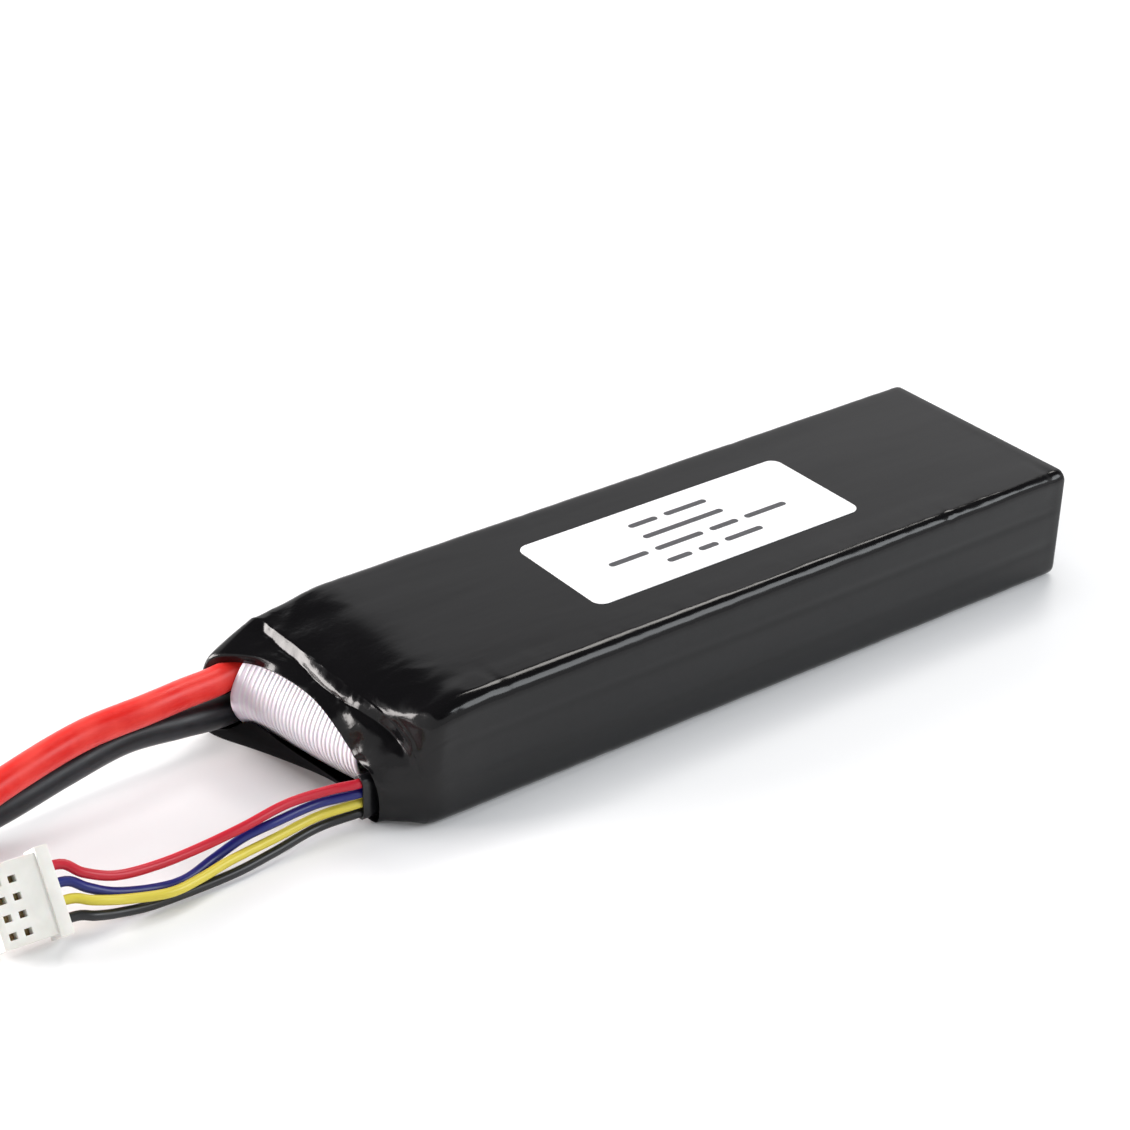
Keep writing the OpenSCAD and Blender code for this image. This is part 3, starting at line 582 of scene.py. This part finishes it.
# past the crease the film drops over a narrow crumpled step, then runs nearly level to the mouth
between_rings = np.linalg.norm(np.diff(lofted, axis=0), axis=2)
steps_along = np.r_[np.zeros((1, around)), np.cumsum(between_rings, axis=0)]
past = steps_along - steps_along[crease_ring]
whole = steps_along[-1] - steps_along[crease_ring]
crest = ramp(t, 5.5, 8) * ramp(-t, -23, -19)
ragged = 0.55 * rippled(lofted * (0, 1, 1), (1, 2.6, 2.6), 101.7)
ragged += 0.3 * ramp(-t, -18, -15.5) * rippled(lofted * (0, 1, 1), (1, 0.9, 0.9), 105.3)
step = 1.5 + 1.2 * bell(t, 13.5, 3.2) + 0.6 * ragged
fallen = np.clip((past + 0.3 * ragged) / step, 0, 1)
fallen = fallen * (1 - np.clip((past - step) / (whole - step), 0, 1) ** 1.6)
lift -= crest * 0.62 * step * fallen * (past > -1)
crumpled = 0.13 * rippled(lofted, (2.4, 1.7, 2.0), 109.1, "ridged")
crumpled += 0.04 * rippled(lofted, (0.9, 0.6, 0.8), 113.3)
lift += bell(past, step / 2, 1.1) * crest * ramp(-t, -18.5, -16) * crumpled
lift += crest * 0.09 * bell(past, step + 0.7 + 0.3 * ragged, 0.35)
# the rim between the step and the mouth is nearly smooth; at the near corner it is gathered
rim = ramp(past, 0.8, 2.0)
lift += rim * upper * 0.05 * rippled(lofted, (6, 4, 4), 127.1)
corner = ramp(past, -1.2, 0.3) * ramp(t, 17.6, 19.5) * ramp(-t, -27, -24)
lift += corner * 0.22 * (rippled(lofted, (5.5, 4, 3.6), 131.9, "ridged") - 0.5)
lift -= 0.6 * bell(t, 20.8, 1.6) * bell(past, 1.5, 0.9)
lift += 0.25 * bell(t, 20.8, 2.2) * bell(past, -0.3, 0.6)
# the rolled lip at the plain end has a wavy free edge
rolled = ramp(-ring_at, -14, 0)
sheet = lofted + normal * lift[:, :, None]
sheet[:, :, 1] *= 1 + rolled * 0.03 * rippled(lofted, (30, 8, 6), 149.3)
# it lies flat on the table
underneath = (t > 32.5) & (t < 45.5)
sheet[:, :, 2] = np.clip(np.where(underneath, z, sheet[:, :, 2]), 0, tall)
# the inner face keeps every ring of the hood, and few along the straight body
inner_rows = [*range(0, end_rings, 4), 80, 140, 200, *range(shoulder_ring - 1, rings - 2)]
inner = (sheet - outward(sheet) * skin)[inner_rows]
inner[:, :, 2] = np.maximum(skin / 2, inner[:, :, 2])
wall = np.concatenate([sheet, inner[::-1]])
count = len(wall)
faces = []
for j in range(count):
    for i in range(around):
        k, l = (i + 1) % around, (j + 1) % count
        faces.append((j * around + i, l * around + i, l * around + k, j * around + k))


# PVC film, shrunk: near black, with a clear satin gloss that shows every ripple of the film, a
# faint orange-peel, finer crumpling on the hood, and a few white specks of dust that static holds
def shrink_film(name):
    made, tree = new_material(name)
    surface = add(tree, "ShaderNodeTexCoord")
    place = add(tree, "ShaderNodeSeparateXYZ", {"Vector": (surface, "Object")})
    hood = add(
        tree, "ShaderNodeMapRange",
        {"Value": (place, "X"), "From Min": -0.052, "From Max": -0.06},
        interpolation_type="SMOOTHSTEP",
    )
    stretch = add(tree, "ShaderNodeMapping", {"Vector": (surface, "Object"), "Scale": (0.22, 1, 1)})
    drawn = add(tree, "ShaderNodeTexNoise", {"Vector": (stretch, 0), "Scale": 190.0, "Detail": 3.0})
    peel = add(tree, "ShaderNodeTexNoise", {"Vector": (surface, "Object"), "Scale": 1100.0, "Detail": 2.0})
    crush = add(
        tree, "ShaderNodeTexNoise",
        {"Vector": (surface, "Object"), "Scale": 620.0, "Detail": 5.0, "Distortion": 0.8},
    )
    crushed = add(tree, "ShaderNodeMath", {0: (crush, "Fac"), 1: (hood, "Result")}, operation="MULTIPLY")
    smear = add(tree, "ShaderNodeTexNoise", {"Vector": (surface, "Object"), "Scale": 70.0, "Detail": 6.0})
    rough = add(
        tree, "ShaderNodeMapRange",
        {"Value": (smear, "Fac"), "From Min": 0.35, "From Max": 0.7, "To Min": 0.13, "To Max": 0.2},
    )
    cells = add(tree, "ShaderNodeTexVoronoi", {"Vector": (surface, "Object"), "Scale": 150.0})
    kept = add(tree, "ShaderNodeSeparateColor", {"Color": (cells, "Color")})
    chosen = add(tree, "ShaderNodeMath", {0: (kept, "Red"), 1: 0.9}, operation="GREATER_THAN")
    size = add(tree, "ShaderNodeMath", {0: (kept, "Green"), 1: 0.022}, operation="MULTIPLY")
    near = add(tree, "ShaderNodeMath", {0: (cells, "Distance"), 1: (size, 0)}, operation="LESS_THAN")
    dust = add(tree, "ShaderNodeMath", {0: (near, 0), 1: (chosen, 0)}, operation="MULTIPLY")
    soot, worn = shade("#080809"), shade("#100f11")
    base = add(tree, "ShaderNodeMix", {0: (smear, "Fac"), 6: soot, 7: worn}, data_type="RGBA")
    colour = add(tree, "ShaderNodeMix", {0: (dust, 0), 6: (base, 2), 7: shade("#c9c9c4")}, data_type="RGBA")
    waves = add(tree, "ShaderNodeBump", {"Height": (drawn, "Fac"), "Strength": 0.18, "Distance": 0.00025})
    grain = add(
        tree, "ShaderNodeBump",
        {"Height": (peel, "Fac"), "Normal": (waves, "Normal"), "Strength": 0.1, "Distance": 0.00003},
    )
    crumple = add(
        tree, "ShaderNodeBump",
        {"Height": (crushed, 0), "Normal": (grain, "Normal"), "Strength": 0.12, "Distance": 0.0003},
    )
    body = add(
        tree, "ShaderNodeBsdfPrincipled",
        {"Base Color": (colour, 2), "Roughness": (rough, "Result"), "Normal": (crumple, "Normal"), "IOR": 1.35},
    )
    close(tree, body)
    return made


# the inside of the film is dull where it has rubbed on the tape, and so is its cut edge at the mouth; the same
# dull near-black finish on the outside of the lower lip at the mouth is painted shade, standing for the shadow
# in the undercut under the lip
inner_face_and_painted_shade, tree = new_material("dull_inner_face_and_painted_shade_pvc")
_, rub, tone = mottled(tree, 320.0, 4.0, "#060607", "#111113")
relief = add(tree, "ShaderNodeBump", {"Height": (rub, "Fac"), "Strength": 0.2, "Distance": 0.0002})
body = add(
    tree, "ShaderNodeBsdfPrincipled",
    {"Base Color": (tone, 2), "Roughness": 0.6, "Normal": (relief, "Normal"), "IOR": 1.12},
)
close(tree, body)
film = shrink_film("black_shrink_pvc")
wrap = new_piece("heat_shrink_sleeve_film", wall.reshape(-1, 3) / 1000, faces, film)
wrap.data.materials.append(inner_face_and_painted_shade)
inner_and_shaded_lip_faces = np.zeros((count, around), np.int32)
inner_and_shaded_lip_faces[rings - 1 :] = 1
# painted shade: the outside of the lower lip at the mouth takes the dull near-black inner finish, so it shows
# black as if in the undercut's shadow
inner_and_shaded_lip_faces[rings - 14 : rings - 1, (station > 30) & (station < 47.5)] = 1
wrap.data.polygons.foreach_set("material_index", inner_and_shaded_lip_faces.ravel())
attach(wrap, "root")
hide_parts("heat_shrink_wrap")

# ---- filament tape ----
# White tape reinforced with glass yarns, laid over the board and the joints. Its yarns stand up as
# ribs that run from top to bottom of the mouth, and their tape between them has a mauve tint.
tape_shape = [
    (-14, tall - 0.7), (-8, tall - 1.4), (-4, tall - 2.4), (-0.5, tall - 3.7), (2.6, tall - 5.4),
    (4.9, tall - 7.8), (6.3, tall - 10.2), (6.6, tall - 12.2), (6, tall - 14.6), (4.5, tall - 17),
    (2.7, 2.1), (0.7, 1), (-3, 0.6), (-14, 0.5),
]
tape_half, tape_turn = half - 8.65, math.radians(10.7)
tape_skin = 0.25
across = np.array((-math.sin(tape_turn), math.cos(tape_turn), 0))
outwards = np.array((-math.cos(tape_turn), -math.sin(tape_turn), 0))
tape_at = np.array((front - 1, 3.6, 0))


def bent(points, per):
    """An open smooth curve through flat points, per steps to each."""
    p = np.array([points[0], *points, points[-1]], float)
    out = []
    for i in range(1, len(p) - 2):
        out += [bend(*p[i - 1 : i + 3], f) for f in np.linspace(0, 1, per, endpoint=False)]
    return np.array([*out, p[-1]])


profile = bent(tape_shape, 6)
slope = np.gradient(profile, axis=0)
slope /= np.linalg.norm(slope, axis=1)[:, None]
inwards = np.array([slope[:, 1], -slope[:, 0]]).T
crown, swing = 0.5, 2.0


def on_tape(line, side):
    """Points of the tape at a share of its half width, which sink back towards its edges."""
    fall = (crown * side**2 - swing * max(0, side) ** 4) * np.clip((line[:, 0] + 3) / 6, 0, 1)
    middle_line = tape_at + np.outer(line[:, 0] - fall, outwards) + np.outer(line[:, 1], (0, 0, 1))
    return middle_line + across * side * tape_half


wide_n = 41
columns = np.linspace(-1, 1, wide_n)
top_face = np.array([on_tape(profile, s) for s in columns])
back_face = np.array([on_tape(profile + inwards * tape_skin, s) for s in columns])
grid = np.concatenate([top_face, back_face[::-1]])
rows_n = len(profile)
tape_faces = []
for j in range(len(grid)):
    for i in range(rows_n - 1):
        l = (j + 1) % len(grid)
        tape_faces.append((j * rows_n + i, j * rows_n + i + 1, l * rows_n + i + 1, l * rows_n + i))
for i, flip in ((0, False), (rows_n - 1, True)):
    for j in range(wide_n - 1):
        back = 2 * wide_n - 1 - j
        quad = (j * rows_n + i, (j + 1) * rows_n + i, (back - 1) * rows_n + i, back * rows_n + i)
        tape_faces.append(tuple(reversed(quad)) if flip else quad)


def tape_plastic(name, deep, pale, gloss):
    """Clear film over white adhesive: shiny, its white a little warm and cool in turn along the yarns."""
    made, tree = new_material(name)
    _, cloud, colour = mottled(tree, 500.0, 4.0, deep, pale)
    relief = add(tree, "ShaderNodeBump", {"Height": (cloud, "Fac"), "Strength": 0.15, "Distance": 0.0001})
    body = add(
        tree, "ShaderNodeBsdfPrincipled",
        {
            "Base Color": (colour, 2), "Roughness": gloss, "Normal": (relief, "Normal"), "IOR": 1.48,
            "Subsurface Weight": 0.1, "Subsurface Scale": 0.0005,
        },
    )
    close(tree, body)
    return made


tape_base = tape_plastic("tinted_tape_backing", "#dcd1df", "#e8deea", 0.3)
tape_rib = tape_plastic("white_glass_yarn", "#dedbe2", "#efedf2", 0.28)
tape = new_piece("end_tape_backing", grid.reshape(-1, 3) / 1000, tape_faces, tape_base)
form = bmesh.new()
form.from_mesh(tape.data)
bmesh.ops.recalc_face_normals(form, faces=form.faces)
form.to_mesh(tape.data)
form.free()
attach(tape, "root")
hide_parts("end_tape")

tree = bpy.data.node_groups.new("glass_yarns", "GeometryNodeTree")
for label, kind in (
    ("Line", "Geometry"), ("Yarns", "Int"), ("First", "Vector"), ("Pitch", "Vector"),
    ("Yarn radius", "Float"), ("Wander", "Float"), ("Sink", "Vector"), ("Swing", "Float"),
    ("Seed", "Int"), ("Finish", "Material"),
):
    tree.interface.new_socket(label, in_out="INPUT", socket_type="NodeSocket" + kind)
tree.interface.new_socket("Geometry", in_out="OUTPUT", socket_type="NodeSocketGeometry")
given = add(tree, "NodeGroupInput")
line = add(tree, "GeometryNodeMeshToCurve", {"Mesh": (given, "Line")})
section = add(tree, "GeometryNodeCurvePrimitiveCircle", {"Resolution": 8, "Radius": (given, "Yarn radius")})
yarn = add(
    tree, "GeometryNodeCurveToMesh", {"Curve": (line, 0), "Profile Curve": (section, 0), "Fill Caps": True}
)
row = add(
    tree, "GeometryNodeMeshLine",
    {"Count": (given, "Yarns"), "Start Location": (given, "First"), "Offset": (given, "Pitch")},
)
number = add(tree, "GeometryNodeInputIndex")
share = add(tree, "ShaderNodeMath", {0: (number, 0), 1: (given, "Yarns")}, operation="DIVIDE")
centred = add(tree, "ShaderNodeMath", {0: (share, 0), 1: 2.0, 2: -1.0}, operation="MULTIPLY_ADD")
square = add(tree, "ShaderNodeMath", {0: (centred, 0), 1: (centred, 0)}, operation="MULTIPLY")
far_half = add(tree, "ShaderNodeMath", {0: (centred, 0), 1: 0.0}, operation="MAXIMUM")
fourth = add(tree, "ShaderNodeMath", {0: (far_half, 0), 1: 4.0}, operation="POWER")
swung = add(tree, "ShaderNodeMath", {0: (fourth, 0), 1: (given, "Swing")}, operation="MULTIPLY")
net = add(tree, "ShaderNodeMath", {0: (square, 0), 1: (swung, 0)}, operation="SUBTRACT")
back_off = add(tree, "ShaderNodeVectorMath", {0: (given, "Sink"), "Scale": (net, 0)}, operation="SCALE")
stray = add(
    tree, "FunctionNodeRandomValue",
    {"Min": -1.0, "Max": 1.0, "Seed": (given, "Seed")}, data_type="FLOAT",
)
stray_by = add(tree, "ShaderNodeMath", {0: (stray, 1), 1: (given, "Wander")}, operation="MULTIPLY")
sideways = add(tree, "ShaderNodeVectorMath", {0: (given, "Pitch"), "Scale": (stray_by, 0)}, operation="SCALE")
shift = add(tree, "ShaderNodeVectorMath", {0: (back_off, 0), 1: (sideways, 0)}, operation="ADD")
spread = add(tree, "GeometryNodeSetPosition", {"Geometry": (row, 0), "Offset": (shift, 0)})
laid = add(tree, "GeometryNodeInstanceOnPoints", {"Points": (spread, 0), "Instance": (yarn, 0)})
real = add(tree, "GeometryNodeRealizeInstances", {"Geometry": (laid, 0)})
finished = add(tree, "GeometryNodeSetMaterial", {"Geometry": (real, 0), "Material": (given, "Finish")})
add(tree, "NodeGroupOutput", {"Geometry": (finished, 0)})

yarns = 30
seat = profile + inwards * 0.2
spine = bpy.data.meshes.new("yarn_line")
centre_line = tape_at + np.outer(seat[:, 0], outwards) + np.outer(seat[:, 1], (0, 0, 1))
links = [(i, i + 1) for i in range(len(centre_line) - 1)]
spine.from_pydata([tuple(p / 1000) for p in centre_line], links, [])
loose = bpy.data.objects.new("yarn_row", spine)
bpy.context.scene.collection.objects.link(loose)
weave = loose.modifiers.new("yarns", "NODES")
weave.node_group = tree
inputs = {item.name: item.identifier for item in tree.interface.items_tree if item.in_out == "INPUT"}
pitch = 2 * tape_half / yarns
for label, value in (
    ("Yarns", yarns), ("First", tuple(-across * (tape_half - pitch / 2) / 1000)),
    ("Pitch", tuple(across * pitch / 1000)), ("Yarn radius", 0.0004), ("Wander", 0.08),
    ("Sink", tuple(-outwards * crown / 1000)), ("Swing", swing / crown), ("Seed", 7), ("Finish", tape_rib),
):
    weave[inputs[label]] = value
ready = bpy.data.meshes.new_from_object(loose.evaluated_get(bpy.context.evaluated_depsgraph_get()))
bpy.data.objects.remove(loose)
ribs = bpy.data.objects.new("end_tape_yarns", ready)
ready.name = "end_tape_yarns"
bpy.context.scene.collection.objects.link(ribs)
for face in ready.polygons:
    face.use_smooth = True
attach(ribs, "root")

# ---- label ----
# A self-adhesive paper label with round corners, pressed flat on the sleeve. Plain dark bars stand
# for its print, four centred rows of them.
label_low, label_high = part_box("label")
label_low, label_high = np.array(label_low) * 1000, np.array(label_high) * 1000
middle = (label_low + label_high) / 2
label_long, label_wide = (label_high - label_low)[:2]


def rounded_plate(name, centre, long, wide, low, high, corner, edge, material):
    """A thin plate with round corners, and an upper edge that falls away softly."""
    points, plate_faces = [], []
    turns = 10
    levels = [(low, 0), (high - edge, 0), (high - edge * 0.3, edge * 0.3), (high, edge)]
    for z_at, inset in levels:
        for cx, cy, first in ((1, 1, 0), (-1, 1, 90), (-1, -1, 180), (1, -1, 270)):
            for k in range(turns + 1):
                a = math.radians(first + 90 * k / turns)
                r = corner - inset
                points.append((
                    centre[0] + cx * (long / 2 - corner) + r * math.cos(a),
                    centre[1] + cy * (wide / 2 - corner) + r * math.sin(a), z_at,
                ))
    n = 4 * (turns + 1)
    for j in range(len(levels) - 1):
        for i in range(n):
            plate_faces.append((j * n + i, j * n + (i + 1) % n, (j + 1) * n + (i + 1) % n, (j + 1) * n + i))
    plate_faces.append(tuple(reversed(range(n))))
    plate_faces.append(tuple(range((len(levels) - 1) * n, len(levels) * n)))
    return new_piece(name, np.array(points) / 1000, plate_faces, material, smooth=False)


# coated label paper: white with a trace of fibre, matt but for a soft sheen
paper, tree = new_material("coated_label_paper")
surface = add(tree, "ShaderNodeTexCoord")
fibre_map = add(tree, "ShaderNodeMapping", {"Vector": (surface, "Object"), "Scale": (1, 2.4, 1)})
fibre = add(tree, "ShaderNodeTexNoise", {"Vector": (fibre_map, 0), "Scale": 1600.0, "Detail": 6.0})
pulp, white = shade("#e4e4e6"), shade("#f6f6f7")
tone = add(tree, "ShaderNodeMix", {0: (fibre, "Fac"), 6: pulp, 7: white}, data_type="RGBA")
relief = add(tree, "ShaderNodeBump", {"Height": (fibre, "Fac"), "Strength": 0.1, "Distance": 0.00004})
body = add(
    tree, "ShaderNodeBsdfPrincipled",
    {"Base Color": (tone, 2), "Roughness": 0.5, "Normal": (relief, "Normal"), "IOR": 1.45},
)
close(tree, body)
label = rounded_plate(
    "label_paper_sheet", middle, label_long, label_wide, label_low[2], label_high[2], 2.0, 0.04, paper
)
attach(label, "root")
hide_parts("label")

# thermal print: flat dark grey, worn a little thin by the ribbon in places
ink, tree = new_material("thermal_print")
tone = mottled(tree, 2200.0, 4.0, "#303033", "#56565a")[2]
body = add(tree, "ShaderNodeBsdfPrincipled", {"Base Color": (tone, 2), "Roughness": 0.55, "IOR": 1.45})
close(tree, body)
bar_rows = ((6.3, (6, 9)), (2.1, (17,)), (-2.1, (8, 10, 6, 9)), (-6.3, (5, 4, 8)))
bar_gap, bar_high = 1.6, 1.25
points, bar_faces = [], []
for y_at, words in bar_rows:
    left = middle[0] - (sum(words) + bar_gap * (len(words) - 1)) / 2
    for word in words:
        start = len(points)
        ends = 8
        for z_at in (label_high[2] - 0.02, label_high[2] + 0.012):
            for side, first in ((1, -90), (-1, 90)):
                for k in range(ends + 1):
                    a = math.radians(first + 180 * k / ends)
                    cx = left + word - bar_high / 2 if side > 0 else left + bar_high / 2
                    points.append((cx + bar_high / 2 * math.cos(a), y_at + bar_high / 2 * math.sin(a), z_at))
        n = 2 * (ends + 1)
        for i in range(n):
            bar_faces.append((start + i, start + (i + 1) % n, start + n + (i + 1) % n, start + n + i))
        bar_faces.append(tuple(start + i for i in reversed(range(n))))
        bar_faces.append(tuple(start + n + i for i in range(n)))
        left += word + bar_gap
bars = new_piece("label_print_bars", np.array(points) / 1000, bar_faces, ink, smooth=False)
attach(bars, "root")

# ---- pouch cells and what holds them ----
# Three cells in embossed aluminium laminate, stuck to each other with thin sheets, bound with two
# turns of tape, and with a foam pad at the plain end. The sleeve hides all but the pad.
foil, tree = new_material("aluminium_pouch_laminate")
surface, wave, tone = mottled(tree, 60.0, 4.0, "#a9adb3", "#cdd0d5")
dimple = add(
    tree, "ShaderNodeTexVoronoi", {"Vector": (surface, "Object"), "Scale": 900.0, "Randomness": 0.35}
)
emboss = add(tree, "ShaderNodeBump", {"Height": (dimple, "Distance"), "Strength": 0.25, "Distance": 0.00006})
buckle = add(
    tree, "ShaderNodeBump",
    {"Height": (wave, "Fac"), "Normal": (emboss, "Normal"), "Strength": 0.3, "Distance": 0.0005},
)
body = add(
    tree, "ShaderNodeBsdfPrincipled",
    {"Base Color": (tone, 2), "Metallic": 0.9, "Roughness": 0.38, "Normal": (buckle, "Normal")},
)
close(tree, body)
dress(foil, "cell_bottom", "cell_middle", "cell_top")


# soft sheet goods: foam, card, film and paper tape differ in their colours, gloss and grain
def sheet_goods(name, deep, pale, rough, grain, depth):
    made, tree = new_material(name)
    _, cloth, tone = mottled(tree, grain, 5.0, deep, pale)
    relief = add(tree, "ShaderNodeBump", {"Height": (cloth, "Fac"), "Strength": 0.4, "Distance": depth})
    body = add(
        tree, "ShaderNodeBsdfPrincipled",
        {"Base Color": (tone, 2), "Roughness": rough, "Normal": (relief, "Normal"), "IOR": 1.48},
    )
    close(tree, body)
    return made


dress(sheet_goods("tissue_adhesive", "#d8cfae", "#efe8cf", 0.6, 700.0, 0.00005), "sheet_lower", "sheet_upper")
band_tape = sheet_goods("polyester_band_tape", "#bd9a2a", "#e0bd45", 0.35, 300.0, 0.00004)
dress(band_tape, "binding_band_front", "binding_band_rear")
dress(sheet_goods("closed_cell_foam", "#17181a", "#2c2d30", 0.85, 1500.0, 0.0002), "rear_pad")

# ---- tabs, board and joints ----
# Aluminium positive and nickel negative tabs come out of the cells through seal film, pass through
# slots in a glass-epoxy board and are folded and soldered to its copper. A card covers the joints.
dress(
    bright_metal("soft_aluminium_tab", "#b4b8bd", "#dfe2e6", 0.28, 1200.0),
    "tab_positive_bottom", "tab_positive_middle", "tab_positive_top",
)
dress(
    bright_metal("nickel_plated_copper_tab", "#a39b8b", "#cfc8b8", 0.25, 1200.0),
    "tab_negative_bottom", "tab_negative_middle", "tab_negative_top",
)
dress(sheet_goods("polypropylene_seal_film", "#d9d6c6", "#f0eee2", 0.35, 500.0, 0.00003), "tab_seals")
dress(sheet_goods("solder_mask_on_glass_epoxy", "#1f5a35", "#2f7549", 0.3, 1300.0, 0.00002), "tab_board")
dress(bright_metal("bare_copper_foil", "#b06a38", "#d99460", 0.25, 1500.0), "board_copper")
dress(bright_metal("tin_solder", "#9fa3a8", "#d4d7da", 0.2, 1800.0), "solder_joints")
dress(sheet_goods("pressboard_card", "#b9ab86", "#d8cda9", 0.75, 900.0, 0.00006), "insulating_card")

# ---- table, daylight and softboxes ----
# A white table with a slight gloss, in a pale room that is darker above. A low window behind the wired
# end lights the step under the crease, and two softboxes draw bright lines on the long near edge.
table_top, tree = new_material("white_laminate_table")
tone = mottled(tree, 3.0, 2.0, "#f6f6f7", "#fbfbfc")[2]
body = add(tree, "ShaderNodeBsdfPrincipled", {"Base Color": (tone, 2), "Roughness": 0.28, "IOR": 1.35})
close(tree, body)
reach = 4.0
floor = new_piece(
    "table", [(-reach, -reach, 0), (reach, -reach, 0), (reach, reach, 0), (-reach, reach, 0)], [(0, 1, 2, 3)],
    table_top, smooth=False,
)
floor.data.transform(Matrix.Translation((0, 0, -0.00002)))

room = bpy.data.worlds.new("room")
room.use_nodes = True
bpy.context.scene.world = room
tree = room.node_tree
tree.nodes.clear()
view = add(tree, "ShaderNodeTexCoord")
aim = add(tree, "ShaderNodeSeparateXYZ", {"Vector": (view, "Generated")})
climb = add(tree, "ShaderNodeValToRGB", {"Fac": (aim, "Z")})
stops = climb.color_ramp.elements
stops[0].position, stops[0].color = 0.0, (0.84, 0.84, 0.84, 1)
stops[1].position, stops[1].color = 1.0, (0.1, 0.1, 0.1, 1)
for position, value in ((0.42, 0.86), (0.54, 0.74), (0.61, 0.1), (0.68, 0.05)):
    stop = stops.new(position)
    stop.color = (value, value, value * 1.01, 1)
sky = add(tree, "ShaderNodeBackground", {"Color": (climb, "Color"), "Strength": 1.0})
add(tree, "ShaderNodeOutputWorld", {"Surface": (sky, 0)})


def softbox(name, direction, distance, wide, tall_side, power, colour):
    """A soft rectangular light that faces the middle of the pack from a direction."""
    lamp = bpy.data.lights.new(name, "AREA")
    lamp.shape, lamp.size, lamp.size_y = "RECTANGLE", wide, tall_side
    lamp.energy, lamp.color = power, colour
    holder = bpy.data.objects.new(name, lamp)
    aim = Vector(direction).normalized()
    holder.location = aim * distance
    holder.rotation_euler = aim.to_track_quat("Z", "Y").to_euler()
    bpy.context.scene.collection.objects.link(holder)
    return holder


softbox("window_light", (-0.766, 0.643, 0.26), 1.6, 1.2, 0.6, 44, (1.0, 0.95, 0.93))
overhead = softbox("ceiling_light", (0.0, 0.2, 1.0), 1.8, 1.2, 1.2, 12.5, (1.0, 1.0, 1.0))
overhead.visible_glossy = False
softbox("front_softbox", (0.53, -0.62, 0.64), 1.5, 0.8, 0.62, 11.5, (0.93, 0.97, 1.0))
softbox("rear_softbox", (0.53, 0.35, 0.78), 1.5, 0.4, 0.4, 5, (1.0, 0.97, 0.93))
